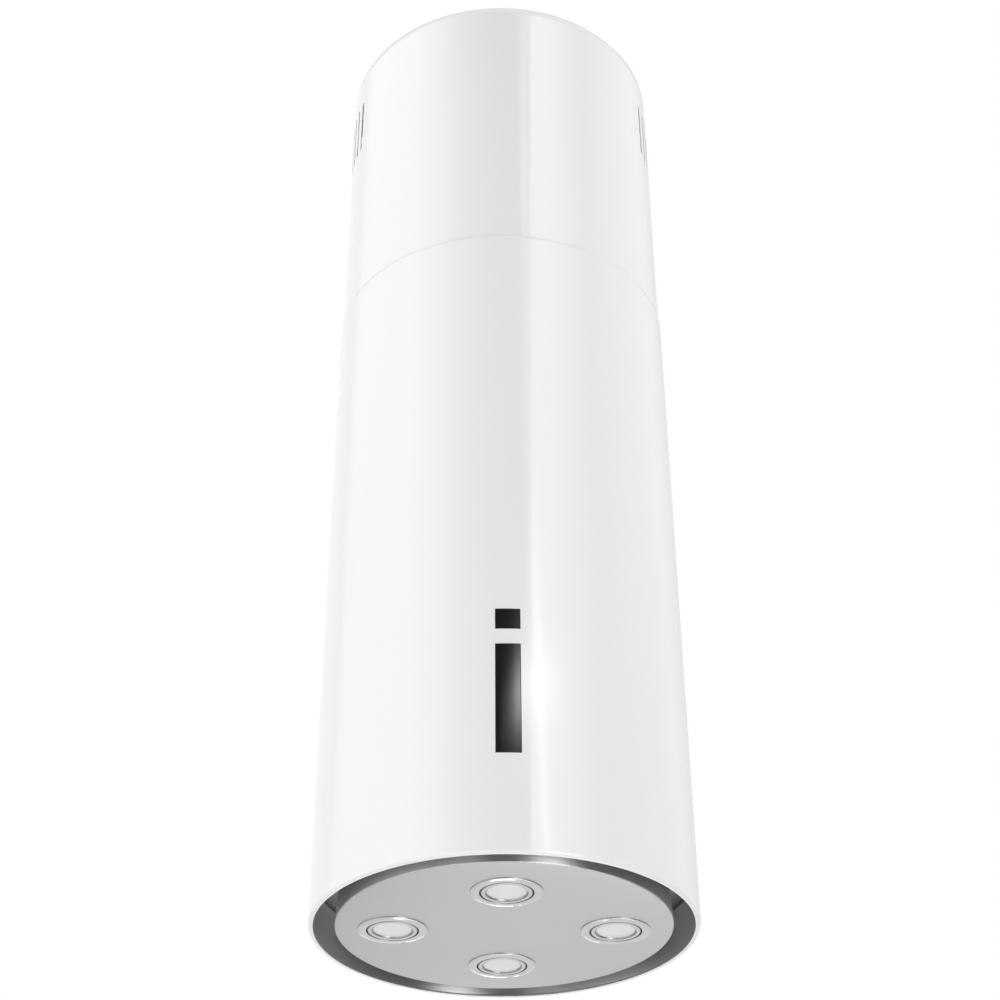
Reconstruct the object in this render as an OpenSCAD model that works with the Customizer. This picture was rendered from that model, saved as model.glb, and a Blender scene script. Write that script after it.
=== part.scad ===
// Island range hood: a round telescopic chimney that hangs from a ceiling plate.
//
// Two groups of pieces slide in each other. The ceiling group is the plate, four uprights and the
// upper tube. The hood group is the lower shell, four uprights, the intake deck, the grease filter
// and the blower. A round perimeter panel with four lamps hangs on a hinge below the deck.
//
// The origin is the centre of the ceiling plate's top face and +Z is up, so the hood lies below
// zero. Heights named _h are measured up from the lower rim of the shell, which above_rim() places.
// The front, with the controls, faces -Y.

/* [Shell and chimney] */
// Outer diameter of the lower shell
shell_d = 390; // [380:2:420]
// Height of the lower shell
shell_h = 750; // [740:5:820]
// Length of the upper tube that shows when the hood hangs at its full drop
tube_show = 385; // [380:5:450]
// Length of the upper tube that stays inside the shell at the full drop
tube_lap = 65; // [50:5:75]
// How far the hood group slides up from its full drop
lift = 375; // [250:5:375]
// Thickness of the sheet of the shell and the tube
sheet = 1; // [0.8:0.1:1.2]
// Radial gap between the tube and the shell
slide_gap = 1; // [0.8:0.1:1.4]
// Width of the lip folded in round the shell's lower rim
lip_w = 5.3; // [4.6:0.1:7]
// Outer radius of the bend between the shell and its lip
rim_bend = 3; // [2:0.5:4]

/* [Vent slots] */
// Slots in each side of the upper tube
slot_count = 11; // [5:2:13]
// Width of a slot
slot_w = 5; // [4:0.5:7]
// Height of a slot
slot_h = 83; // [60:1:100]
// Angle from one slot to the next
slot_pitch = 4.6; // [4:0.1:5]
// Distance from the tube's top edge down to the slots
slot_drop = 49; // [45:1:80]

/* [Perimeter panel] */
// Gap between the perimeter panel and the shell's lip
panel_gap = 21.2; // [17.7:0.5:29.7]
// Depth of the panel's turned-up wall
panel_depth = 38; // [34:1:39]
// Lean of the panel's wall towards the centre, in degrees
panel_lean = 4.5; // [2:0.5:6]
// Height of the panel's lower face above the rim
panel_h = 1.4; // [1.4:0.1:3]
// Thickness of the panel
panel_t = 1; // [0.8:0.1:1.2]
// Outer radius of the bend between the panel's face and its wall
panel_bend = 2; // [1.5:0.5:3]

/* [Lamps] */
// Distance of the side lamps' centres in from the panel's edge
side_lamp_in = 57.5; // [52.5:0.5:64.5]
// Distance of the front and rear lamps' centres in from the panel's edge
end_lamp_in = 70.5; // [68.5:0.5:76.5]
// Diameter of a lamp's flange
lamp_d = 70; // [66:1:74]
// Diameter of the lens in view
lens_d = 39; // [34:1:42]
// Length of the lamp's housing behind the panel
lamp_depth = 29; // [24:1:31]

/* [Controls] */
// Width of the display and touch windows
window_w = 24.6; // [20:0.2:30]
// Height of the display window
display_win_h = 22.6; // [18:0.2:26]
// Height of the touch window
touch_win_h = 117.4; // [100:0.2:124]
// Height of the touch window's lower edge above the rim
touch_h = 100; // [90:1:106]
// Space between the two windows
window_space = 16.8; // [12:0.2:22]
// Thickness of the windows
window_t = 3; // [2.5:0.5:4]

/* [Intake deck and filter] */
// Height of the deck's lower face above the rim
deck_h = 54; // [54:1:58]
// Gap between the lining band and the deck
lining_gap = 1.4; // [0.5:0.1:3]
// Gap between the grease filter's sides and the frame's outer corners
filter_side_gap = 28; // [24:1:38]
// Gap between the grease filter and the feet of the hinge arms
filter_rear_gap = 24; // [22:1:34]
// Gap between the grease filter and the magnet catches
filter_front_gap = 35; // [33:1:45]
// Thickness of the grease filter
filter_t = 9; // [8:0.5:9.5]
// Size of one opening of the filter's face sheet
mesh_hole = 11; // [8:1:13]
// Travel of the filter's latch
latch_travel = 5; // [4:0.5:6]

/* [Frame] */
// Gap between the corners of the lower uprights and the shell
frame_gap = 13; // [10:0.5:15]
// Leg width of the uprights' angle section
angle_leg = 25; // [22:1:27]
// Thickness of the uprights
angle_t = 2; // [1.5:0.5:2.5]
// Gap between an upper and a lower upright
angle_gap = 0.3; // [0.3:0.1:0.6]
// Overlap of the upper and lower uprights at the full drop
angle_lap = 100; // [70:5:120]
// Gap between the ceiling plate and the tube
plate_gap = 4; // [2:0.5:10]
// Thickness of the ceiling plate
plate_t = 3; // [2:0.5:4]
// Width of the square hole for the duct in the ceiling plate
duct_hole_w = 164; // [160:2:176]
// Distance of the ceiling bolts' centres in from the plate's edge
bolt_in = 38; // [33:1:43]
// Diameter of the ceiling bolts' holes
bolt_hole_d = 9; // [7:0.5:11]

/* [Blower] */
// Distance of the blower box's walls in from the frame's outer faces
box_in = 9; // [9:0.5:12]
// Height of the bridge plate that closes the box, above the rim
bridge_h = 400; // [390:5:430]
// Height of the impeller's axis above the rim
axis_h = 190; // [180:2:200]
// Distance of the impeller's axis behind the hood's centre
axis_y = 14; // [10:1:14]
// Gap between the impeller and the walls of the blower box
wheel_gap = 41; // [39:0.5:44]
// Width of the impeller
wheel_w = 96; // [88:2:100]
// Number of the impeller's blades
blades = 32; // [20:2:36]
// Outer diameter of the duct spigot
spigot_d = 149; // [145:1:149]
// Height of the duct spigot above its flange
spigot_len = 58; // [50:1:70]

/* [Hidden] */

$fn = 96;
cut = 1;                 // how far a cutting shape runs past what it cuts
fit = 0.05;              // radial clearance of a running fit
play = 0.2;              // clearance of a hole round its screw
turn = 0.4;              // clearance between pieces that pass each other

// Overall heights and radii
hood_h = shell_h + tube_show;
shell_r = shell_d / 2;
inner_r = shell_r - sheet;
lip_r = shell_r - lip_w;
tube_r = inner_r - slide_gap;
tube_len = tube_show + tube_lap;
panel_r = lip_r - panel_gap;
plate_r = tube_r - sheet - plate_gap;
bolt_circle_r = plate_r - bolt_in;
frame_half = round((inner_r - frame_gap) / sqrt(2));   // from an axis to the uprights' outer faces

// Screws: radius of the shank, radius and height of the head
m6 = 3;
m5 = 2.5;
m4 = 2;
head_ratio = 1.7;
head_t = 3;

// Frame
upright_top_h = shell_h - 5;
upper_half = frame_half - angle_t - angle_gap;
clamp_drop = 20;         // clamp screws below the lower uprights' tops
clamp_in = 13;           // clamp screws in from an upright's outer corner
foot_w = 22;             // feet of the uprights
foot_t = 3;
foot_in = 15;            // foot screws in from an upright's outer corner
foot_rise = 2;           // room above a foot for its screw's end
cable_hole_d = 24;
bracket_leg = 26;
bracket_w = 30;
slot_end_gap = 4;        // play of a clamp screw at the ends of its slot
nut_t = 3;

// Intake
deck_t = 1;
deck_top_h = deck_h + deck_t;
deck_r = inner_r - 0.2;
flange_t = 0.8;
flange_drop = 14;
lining_t = 1;
lining_r = deck_r - flange_t;
panel_floor_h = panel_h + panel_t;
hanger_w = 26;
hanger_leg = 20;
hanger_angles = [20, 160, 200, 340];

// Panel hinge: two fixed arms reach into the panel and turn on pins in the panel's ears
hinge_x = 45;
hinge_in = 20.5;         // hinge axis in from the panel's edge
hinge_y = panel_r - hinge_in;
hinge_rise = 6.6;        // hinge axis above the panel's floor
hinge_h = panel_floor_h + hinge_rise;
pin_r = 2;
pin_head_t = 1.2;
arm_t = 3;
arm_r = 5.5;
arm_bar_w = 7;
arm_run = 42;            // how far an arm runs inwards before it rises
ear_t = 2;
ear_gap = 0.5;
arm_foot_len = 14;
arm_foot_t = 2;

// Magnet catches
catch_x = 45;
catch_in = 28.5;         // middle of the catches in from the panel's edge
catch_y = catch_in - panel_r;
catch_drop = 22;
catch_size = [24, 14];
magnet_r = 5.5;
post_size = [18, 8];

// Filter
filter_rear_y = hinge_y - arm_run - filter_rear_gap;
filter_front_y = catch_y + catch_size.y / 2 + filter_front_gap;
filter_w = 2 * (frame_half - filter_side_gap);
filter_len = filter_rear_y - filter_front_y;
filter_y = (filter_rear_y + filter_front_y) / 2;
filter_edge = 8;         // width of the filter's frame
filter_low_h = deck_h - filter_t;
mesh_bar = 3;            // metal left between two openings of the face sheet
hook_t = 1.2;
hook_reach = 6;
hook_w = 24;
hook_x = 60;
latch_w = 30;
latch_len = 34;
latch_t = 4;
latch_lip_t = 2;         // thickness of the latch's wide upper layer
latch_nose = 6;          // how far the latch reaches past the filter's front edge
latch_dimple_r = 6;
keeper_w = 18;
rail_t = 1;
rail_reach = 4;

// Lamps
side_lamp_x = panel_r - side_lamp_in;
end_lamp_y = panel_r - end_lamp_in;
lamp_spots = [[0, -end_lamp_y], [side_lamp_x, 0], [0, end_lamp_y], [-side_lamp_x, 0]];
lamp_r = lamp_d / 2;
lens_r = lens_d / 2;
lamp_flange_w = 6;
lamp_flange_t = 1.4;
barrel_r = lamp_r - lamp_flange_w;
barrel_t = 3;
barrel_h = 14;
ring_gap = 0.5;          // groove between a lamp's flange and its inner ring
ring_r = barrel_r - barrel_t - ring_gap;
lens_seat = 1;           // how much wider the lens is than what shows of it
lens_t = 2;
lens_low = 0.4;          // the lens's front face above the panel's lower face
lamp_cup_h = 15;
lamp_core_r = 7;
lamp_fins = 12;
lamp_fin_t = 1.6;
clip_w = 9;
clip_reach = 8;
clip_t = 0.8;

// Controls
display_h = touch_h + touch_win_h + window_space;
window_gap = 0.25;
housing_pad = 11;        // how far the housing reaches past the windows
housing_t = 2;
housing_depth = 28;
housing_low_h = touch_h - housing_pad;
housing_h = display_h + display_win_h + housing_pad - housing_low_h;
housing_w = window_w + 2 * housing_pad;
ear_w = 12;              // width of the housing's ears
ear_plate_in = 10;       // from the shell's inner face at the studs to the housing's ears
stud_r = 1.5;
stud_len = 16;
stud_end = 12;           // studs in from the housing's ends
board_t = 1.6;
key_count = 5;
key_r = 5;
key_h = 5;
readout_t = 7;
plug_size = [16, 7, 10];
chip_size = [12, 2, 12];

// Blower
box_half = frame_half - box_in;
box_w = 2 * box_half;
wheel_d = 2 * (box_half - wheel_gap);
wire_hole_r = 9;
box_t = 0.8;
box_flange = 12;
bridge_t = 2;
collar_flange_r = 96;
collar_flange_t = 2;
collar_screw_r = 87;
spigot_r = spigot_d / 2;
spigot_t = 2;
duct_bore_r = spigot_r - spigot_t;
casing_t = 2;
casing_half = wheel_w / 2 + 12;
tongue_r = wheel_d / 2 + 8;
scroll_r = tongue_r + 26;
outlet_w = scroll_r - 20;
transition_h = 70;       // height of the duct between the casing and the bridge plate
outlet_h = bridge_h - transition_h - axis_h;
tongue_x = outlet_w - scroll_r;
scroll_steps = 40;
inlet_r = wheel_d / 2 - 14;
bell_r = 8;              // radius of the inlet bell's edge
outlet_mid = (tongue_x - scroll_r) / 2;   // middle of the outlet, across the hood
seam_w = 7;
joint_w = 12;            // flanges between the casing and the outlet duct
duct_sides = 32;
motor_r = 44;
motor_len = 50;
motor_front = casing_half - motor_len;
motor_ribs = 24;
shaft_r = 4;
shaft_in = 34;           // how far the shaft reaches into the motor
hub_x = 4;               // the impeller's disc is this far right of the middle
hub_r = 12;
hub_len = 16;
shaft_out = hub_x + 12;
hub_cone_r = 30;
blade_depth = 13;
blade_in_r = wheel_d / 2 - blade_depth;
blade_sweep = 15;        // how far a blade leans forwards from root to tip, in degrees
blade_deg = 1;           // thickness of a blade, in degrees
blade_steps = 6;
blade_inset = 0.4;       // how far the blades stay inside the end rings' edges
bracket_t = 2;
bracket_arm_w = 16;
bracket_hole_r = inlet_r + 14;
flap_rise = 20;          // flaps' pins above the bridge plate
flap_h = bridge_h + bridge_t + flap_rise;
flap_t = 1.2;
flap_pin_r = 1.5;
flap_pin_x = 3.2;        // distance of each flap's pin from the middle
flap_knuckle_r = 2.6;
ledge_w = 3;
ledge_t = 2;

// Power box, on the back of the blower box
power_size = [140, 42, 120];
power_h = 150;
power_wall = 2;
lid_screw_in = 7;
lid_screw_r = 1.5;
lid_post = 16;           // width of the corner posts that take the lid's screws
gland_x = 42;
gland_y = box_half + power_size.y / 2;
gland_bore_r = 4;
gland_len = 22;
gland_thread_r = 8;
gland_hex_r = 11;
gland_cap_r = 9;
board_margin = [18, 6];  // room round the driver board, to the sides and at its ends
board_post_len = 6;
board_post_in = 5;
coil_size = [30, 18, 26];
capacitor_r = 5;
capacitor_len = 16;
terminal_size = [14, 12, 12];

// ---- Helpers ----

// Lifts its children from the rim's height to a height above the rim.
module above_rim(h = 0) translate([0, 0, h - hood_h]) children();

// A flat ring that stands on the XY plane.
module ring(outer, inner, h) {
    difference() {
        cylinder(r = outer, h = h);
        translate([0, 0, -cut]) cylinder(r = inner, h = h + 2 * cut);
    }
}

// A box centred on Z that stands on the XY plane.
module block(x, y, h) translate([-x / 2, -y / 2, 0]) cube([x, y, h]);

// Points on an arc round c, from angle a0 to a1.
function arc(c, r, a0, a1, n = 8) =
    [for (i = [0:n]) let (a = a0 + (a1 - a0) * i / n) c + r * [cos(a), sin(a)]];

// A screw along +Z: its head lies below the XY plane, and its shank rises to length.
module screw(r, length) {
    translate([0, 0, -head_t]) cylinder(r = head_ratio * r, h = head_t);
    cylinder(r = r, h = length);
}

// A hole for a screw along Z, through everything from -depth to depth.
module screw_hole(r, depth = 8) translate([0, 0, -depth]) cylinder(r = r + play, h = 2 * depth);

// The four corners of the frame: children are drawn in the corner of the first quadrant.
module corner(i) rotate([0, 0, 90 * i]) children();

// ---- Ceiling group ----

module foot_screw_spot(half) translate([half - foot_in, half - foot_in, 0]) children();

module bracket_spot() for (side = [0, 180])
    rotate([0, 0, side]) translate([tube_r - sheet, 0, 0]) children();

module ceiling_plate() {
    color("lightgray")
    translate([0, 0, -plate_t]) difference() {
        cylinder(r = plate_r, h = plate_t);
        translate([0, 0, -cut]) block(duct_hole_w, duct_hole_w, plate_t + 2 * cut);
        for (i = [0:3]) {
            corner(i) translate([bolt_circle_r, 0, -cut])
                cylinder(d = bolt_hole_d, h = plate_t + 2 * cut);
            corner(i) foot_screw_spot(upper_half) screw_hole(m6);
        }
        translate([gland_x, gland_y, -cut]) cylinder(d = cable_hole_d, h = plate_t + 2 * cut);
        bracket_spot() translate([-bracket_leg / 2, 0, 0]) screw_hole(m5);
    }
}

// Angle section with its outer corner at [half, half], its legs towards the axes.
module angle_section(half, length) {
    translate([half - angle_leg, half - angle_t, 0]) cube([angle_leg, angle_t, length]);
    translate([half - angle_t, half - angle_leg, 0]) cube([angle_t, angle_leg, length]);
}

// Places children on the two clamp screws of a corner: Z runs outwards through each leg.
module clamp_spots() {
    at = frame_half - clamp_in;
    translate([0, at, 0]) rotate([0, 90, 0]) children();
    translate([at, 0, 0]) rotate([0, 0, 90]) rotate([0, 90, 0]) children();
}

module upper_upright(i) {
    length = hood_h - plate_t - (upright_top_h - angle_lap);
    slot_low = upright_top_h - clamp_drop - m6 - slot_end_gap;
    slot_top = upright_top_h - clamp_drop + lift + m6 + slot_end_gap;
    color("silver") corner(i) difference() {
        union() {
            above_rim(upright_top_h - angle_lap) angle_section(upper_half, length);
            translate([upper_half - foot_w, upper_half - foot_w, -plate_t - foot_t])
                cube([foot_w - angle_t, foot_w - angle_t, foot_t]);
        }
        foot_screw_spot(upper_half) screw_hole(m6, 12);
        for (turned = [0, 1]) mirror([turned, -turned, 0])
            translate([upper_half - angle_t - cut, frame_half - clamp_in - m6 - turn, slot_low - hood_h])
                cube([angle_t + 2 * cut, 2 * (m6 + turn), slot_top - slot_low]);
    }
}

// One slot with round ends, cut along X.
module vent_slot() {
    straight = slot_h - slot_w;
    translate([0, -slot_w / 2, slot_w / 2]) cube([10, slot_w, straight]);
    for (end = [0, straight]) translate([0, 0, slot_w / 2 + end]) rotate([0, 90, 0])
        cylinder(d = slot_w, h = 10);
}

module upper_tube() {
    color("white") difference() {
        translate([0, 0, -tube_len]) ring(tube_r, tube_r - sheet, tube_len);
        for (side = [0, 180], i = [0:slot_count - 1])
            rotate([0, 0, side + (i - (slot_count - 1) / 2) * slot_pitch])
                translate([tube_r - 5, 0, -slot_drop - slot_h]) vent_slot();
    }
}

// Angles welded inside the tube's top, which screw up into the ceiling plate.
module tube_brackets() {
    color("lightgray") for (side = [0, 180]) rotate([0, 0, side]) difference() {
        intersection() {
            translate([0, 0, -plate_t - bracket_leg])
                ring(tube_r - sheet, tube_r - sheet - bracket_leg, bracket_leg);
            translate([0, -bracket_w / 2, -plate_t - bracket_leg]) cube([tube_r, bracket_w, bracket_leg]);
        }
        translate([0, 0, -plate_t - bracket_leg - cut])
            cylinder(r = tube_r - sheet - angle_t, h = bracket_leg - angle_t + cut);
        translate([tube_r - sheet - bracket_leg / 2, 0, -plate_t]) screw_hole(m5);
    }
}

module ceiling_screws() {
    color("gray") {
        for (i = [0:3]) corner(i) foot_screw_spot(upper_half)
            translate([0, 0, -plate_t - foot_t]) screw(m6, foot_t + plate_t - 0.5);
        bracket_spot() translate([-bracket_leg / 2, 0, -plate_t - angle_t])
            screw(m5, angle_t + plate_t - 0.5);
    }
}

// ---- Shell ----

// A slab through the front of the shell that is w wide and h high, its lower edge h0 above the rim.
module window_slab(w, h0, h) above_rim(h0) translate([-w / 2, -shell_r - cut, 0]) cube([w, 60, h]);

module windows(grow) {
    window_slab(window_w + 2 * grow, touch_h - grow, touch_win_h + 2 * grow);
    window_slab(window_w + 2 * grow, display_h - grow, display_win_h + 2 * grow);
}

module lower_shell() {
    bend_centre = [shell_r - rim_bend, rim_bend];
    color("white") difference() {
        above_rim() rotate_extrude() polygon(concat(
            arc(bend_centre, rim_bend, 0, -90),
            [[lip_r, 0], [lip_r, sheet]],
            arc(bend_centre, rim_bend - sheet, -90, 0),
            [[inner_r, shell_h], [shell_r, shell_h]]));
        windows(window_gap);
    }
}

module hanger_spot() for (a = hanger_angles) rotate([0, 0, a]) children();

// Angles welded inside the shell, which stand on the deck and are screwed to it.
module shell_hangers() {
    color("silver") above_rim(deck_top_h) hanger_spot() difference() {
        intersection() {
            ring(inner_r, inner_r - hanger_leg, hanger_leg);
            translate([0, -hanger_w / 2, 0]) cube([shell_r, hanger_w, hanger_leg]);
        }
        translate([0, 0, angle_t]) cylinder(r = inner_r - angle_t, h = hanger_leg);
        translate([inner_r - hanger_leg / 2, 0, 0]) screw_hole(m5);
    }
}

// ---- Hood frame ----

// Places children on the stand-off bolts of a corner, which hold the blower box to an upright.
module standoff_spots() {
    room = upright_top_h - angle_lap - lift - deck_top_h;
    for (share = [0.25, 0.75]) above_rim(deck_top_h + share * room)
        translate([box_half, frame_half - clamp_in, 0]) rotate([0, 90, 0]) children();
}

module lower_upright(i) {
    color("silver") corner(i) difference() {
        union() {
            above_rim(deck_top_h) angle_section(frame_half, upright_top_h - deck_top_h);
            above_rim(deck_top_h) translate([frame_half - foot_w, frame_half - foot_w, 0])
                cube([foot_w - angle_t, foot_w - angle_t, foot_t]);
        }
        above_rim(deck_top_h) foot_screw_spot(frame_half) screw_hole(m6);
        above_rim(upright_top_h - clamp_drop) clamp_spots() translate([0, 0, frame_half]) screw_hole(m6);
        standoff_spots() translate([0, 0, frame_half - box_half]) screw_hole(m4);
    }
}

// Clamp screws ride in the upper uprights' slots and lock the hood at the height chosen.
module clamp_screws() {
    color("gray") for (i = [0:3]) corner(i) above_rim(upright_top_h - clamp_drop) clamp_spots() {
        translate([0, 0, frame_half]) cylinder(r = head_ratio * m6, h = head_t);
        translate([0, 0, upper_half - angle_t - turn - nut_t]) {
            cylinder(r = head_ratio * m6, h = nut_t, $fn = 6);
            cylinder(r = m6, h = frame_half - upper_half + angle_t + turn + nut_t);
        }
    }
}

// Spacers with bolts, between the blower box and the lower uprights.
module standoffs() {
    color("gray") for (i = [0:3]) corner(i) standoff_spots() {
        translate([0, 0, -head_t]) cylinder(r = m4, h = frame_half - box_half + head_t + m4);
        ring(head_ratio * m4, m4, frame_half - box_half - angle_t);
        translate([0, 0, frame_half - box_half]) cylinder(r = head_ratio * m4, h = m4);
    }
}

module deck_screws() {
    color("gray") {
        for (i = [0:3]) corner(i) above_rim(deck_h) foot_screw_spot(frame_half)
            screw(m6, deck_t + foot_t + 1);
        above_rim(deck_top_h + angle_t) hanger_spot() translate([inner_r - hanger_leg / 2, 0, 0])
            mirror([0, 0, 1]) screw(m5, angle_t + deck_t);
    }
}

// ---- Intake ----

module lining_band() {
    color("silver") above_rim(rim_bend)
        ring(lining_r, lining_r - lining_t, deck_h - lining_gap - rim_bend);
}

// A bracket below the deck: its web hangs at y = 0 and its ledge points to +Y.
module filter_bracket(w, drop, reach) {
    translate([-w / 2, -hook_t, -drop - hook_t]) cube([w, hook_t, drop + hook_t]);
    translate([-w / 2, -hook_t, -drop - hook_t]) cube([w, reach + hook_t, hook_t]);
}

module arm_foot_spot() for (side = [-1, 1])
    translate([side * (hinge_x + arm_t / 2 + arm_foot_len / 2), hinge_y - arm_run + arm_r, 0]) children();

module catch_spot() for (side = [-1, 1]) translate([side * catch_x, catch_y, 0]) children();

module intake_deck() {
    front = filter_y - filter_len / 2;
    color("silver") difference() {
        union() {
            above_rim(deck_h) cylinder(r = deck_r, h = deck_t);
            above_rim(deck_h - flange_drop) ring(deck_r, deck_r - flange_t, flange_drop + deck_t);
            for (side = [-1, 1])
                above_rim(deck_h) translate([side * hook_x, filter_y + filter_len / 2 + play, 0])
                    rotate([0, 0, 180]) filter_bracket(hook_w, filter_t, hook_reach);
            above_rim(deck_h) translate([0, front - latch_nose - play, 0])
                filter_bracket(keeper_w, filter_t + latch_lip_t + play, latch_nose - turn);
        }
        above_rim(deck_h - cut) translate([0, filter_y, 0])
            block(filter_w - 2 * filter_edge, filter_len - 2 * filter_edge, deck_t + 2 * cut);
        above_rim(deck_h) {
            for (i = [0:3]) corner(i) foot_screw_spot(frame_half) screw_hole(m6);
            hanger_spot() translate([inner_r - hanger_leg / 2, 0, 0]) screw_hole(m5);
            arm_foot_spot() screw_hole(m4);
            catch_spot() screw_hole(m4);
        }
    }
}

// The cassette: a channel frame with a punched sheet on its underside and two rails for the latch.
module filter_frame() {
    inner = [filter_w - 2 * filter_edge, filter_len - 2 * filter_edge];
    pitch = mesh_hole + mesh_bar;
    count = [floor((inner.x - mesh_bar) / pitch), floor((inner.y - mesh_bar) / pitch)];
    rail_len = latch_len - latch_nose;
    rail_h = latch_lip_t + turn + rail_t;
    front = -filter_len / 2;
    color("silver") above_rim(filter_low_h) translate([0, filter_y, 0]) {
        difference() {
            block(filter_w, filter_len, filter_t);
            translate([0, 0, sheet]) block(inner.x, inner.y, filter_t);
            for (i = [0:count.x - 1], j = [0:count.y - 1])
                translate([(i - (count.x - 1) / 2) * pitch, (j - (count.y - 1) / 2) * pitch, -cut])
                    block(mesh_hole, mesh_hole, filter_t);
        }
        for (side = [0, 1]) mirror([side, 0, 0]) translate([latch_w / 2 + turn, front, 0]) {
            translate([0, 0, -rail_h]) cube([rail_t, rail_len, rail_h]);
            translate([-rail_reach, 0, -rail_h]) cube([rail_reach, rail_len, rail_t]);
        }
    }
}

// The pad of knitted aluminium that fills the cassette.
module filter_mesh() {
    color("lightgray") above_rim(filter_low_h + sheet) translate([0, filter_y, 0])
        block(filter_w - 2 * filter_edge - play, filter_len - 2 * filter_edge - play, filter_t - 2 * sheet);
}

// The latch slides in the filter's rails: a wide layer with a nose, and a finger grip below it.
module filter_latch() {
    grip_w = latch_w - 2 * rail_reach - 2 * turn;
    front = filter_y - filter_len / 2 - latch_nose + turn;
    gap = turn / 2;
    color("dimgray") above_rim(filter_low_h - gap - latch_lip_t) translate([0, front, 0]) difference() {
        union() {
            translate([-latch_w / 2, latch_nose, 0]) cube([latch_w, latch_len - latch_nose, latch_lip_t]);
            translate([-keeper_w / 2 + turn, 0, 0])
                cube([keeper_w - 2 * turn, latch_nose + cut, latch_lip_t]);
            translate([-grip_w / 2, latch_nose + latch_travel, -(latch_t - latch_lip_t)])
                cube([grip_w, latch_len - latch_nose - latch_travel, latch_t]);
        }
        translate([0, latch_len - 2 * latch_dimple_r, -latch_t])
            cylinder(r = latch_dimple_r, h = latch_t + latch_lip_t / 2);
    }
}

// The arms that carry the panel's hinge: each hangs from the deck, runs back and holds a pin.
module hinge_arms() {
    rise = deck_h - hinge_h;
    color("silver") for (side = [0, 1]) mirror([side, 0, 0])
        translate([hinge_x - arm_t / 2, hinge_y, hinge_h - hood_h]) {
            difference() {
                rotate([90, 0, 90]) linear_extrude(arm_t) union() {
                    circle(r = arm_r);
                    translate([-arm_run, -arm_bar_w / 2]) square([arm_run, arm_bar_w]);
                    translate([-arm_run, -arm_bar_w / 2]) square([arm_bar_w, rise + arm_bar_w / 2]);
                }
                translate([-cut, 0, 0]) rotate([0, 90, 0]) cylinder(r = pin_r + fit, h = arm_t + 2 * cut);
            }
            difference() {
                translate([arm_t - cut, -arm_run, rise - arm_foot_t])
                    cube([arm_foot_len + cut, 2 * arm_r, arm_foot_t]);
                translate([arm_t + arm_foot_len / 2, -arm_run + arm_r, rise]) screw_hole(m4);
            }
            translate([arm_t + arm_foot_len / 2, -arm_run + arm_r, rise - arm_foot_t])
                screw(m4, arm_foot_t + deck_t);
        }
}

// Magnets in holders below the deck, which the panel's two posts meet.
module magnet_catches() {
    color("dimgray") catch_spot() above_rim(deck_h - catch_drop) {
        difference() {
            block(catch_size.x, catch_size.y, catch_drop);
            translate([0, 0, -cut]) ring(magnet_r, magnet_r - 0.5, cut + 1);
        }
        translate([0, 0, catch_drop - cut]) cylinder(r = m4, h = cut + deck_t + 1);
    }
}

// ---- Perimeter panel ----

// The cross-section of the panel's sheet: a flat face, a bend and a leaning wall.
function panel_side(inset) =
    let (c = [panel_r - panel_bend, panel_h + panel_bend],
         foot = arc(c, panel_bend - inset, -90, panel_lean),
         last = foot[len(foot) - 1],
         rise = panel_h + panel_depth - last.y)
    concat(foot, [last + [-rise * tan(panel_lean), rise]]);

function reversed(list) = [for (i = [len(list) - 1:-1:0]) list[i]];

module hinge_ears() {
    for (side = [-1, 1], at = [-1, 1])
        translate([side * hinge_x + at * (arm_t / 2 + ear_gap + ear_t / 2) - ear_t / 2, hinge_y, 0]) {
            above_rim(hinge_h) rotate([0, 90, 0]) cylinder(r = arm_r, h = ear_t);
            above_rim(panel_floor_h - panel_t / 2) translate([0, -arm_r, 0])
                cube([ear_t, 2 * arm_r, hinge_h - panel_floor_h + panel_t / 2]);
        }
}

module perimeter_panel() {
    post_h = deck_h - catch_drop - panel_floor_h - play;
    color("silver") difference() {
        union() {
            above_rim() rotate_extrude() polygon(concat(
                [[0, panel_h]], panel_side(0),
                reversed(panel_side(panel_t)), [[0, panel_floor_h]]));
            hinge_ears();
            catch_spot() above_rim(panel_floor_h - panel_t / 2)
                block(post_size.x, post_size.y, post_h + panel_t / 2);
        }
        for (spot = lamp_spots) above_rim(panel_h) translate(spot) screw_hole(barrel_r);
        for (side = [-1, 1]) above_rim(hinge_h) translate([side * hinge_x, hinge_y, 0])
            rotate([0, 90, 0]) translate([0, 0, -arm_t - ear_t - cut])
                cylinder(r = pin_r, h = 2 * (arm_t + ear_t + cut));
    }
}

module hinge_pins() {
    half = arm_t / 2 + ear_gap + ear_t;
    color("gray") for (side = [-1, 1]) above_rim(hinge_h) translate([side * hinge_x, hinge_y, 0])
        rotate([0, 90, 0]) {
            translate([0, 0, -half]) cylinder(r = pin_r, h = 2 * half);
            for (end = [-half - pin_head_t, half]) translate([0, 0, end])
                cylinder(r = pin_r + pin_head_t, h = pin_head_t);
        }
}

// ---- Lamps ----

module at_lamp(i) above_rim(panel_h) translate(lamp_spots[i - 1]) rotate([0, 0, 90 * i]) children();

// The flange below the panel and the sleeve above it, with two clips that hold it.
module lamp_bezel(i) {
    bore = barrel_r - barrel_t;
    color("gainsboro") at_lamp(i) {
        rotate_extrude() polygon(concat(
            [[bore, -lamp_flange_t]],
            arc([lamp_r - lamp_flange_t, 0], lamp_flange_t, -90, 0),
            [[barrel_r, 0], [barrel_r, barrel_h], [bore, barrel_h]]));
        for (side = [-1, 1]) {
            translate([side * (barrel_r + clip_reach / 2 - cut / 2), 0, panel_t])
                block(clip_reach + cut, clip_w, clip_t);
            translate([side * (barrel_r + clip_t / 2), 0, panel_t])
                block(2 * clip_t, clip_w, barrel_h - panel_t - 1);
        }
    }
}

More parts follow.
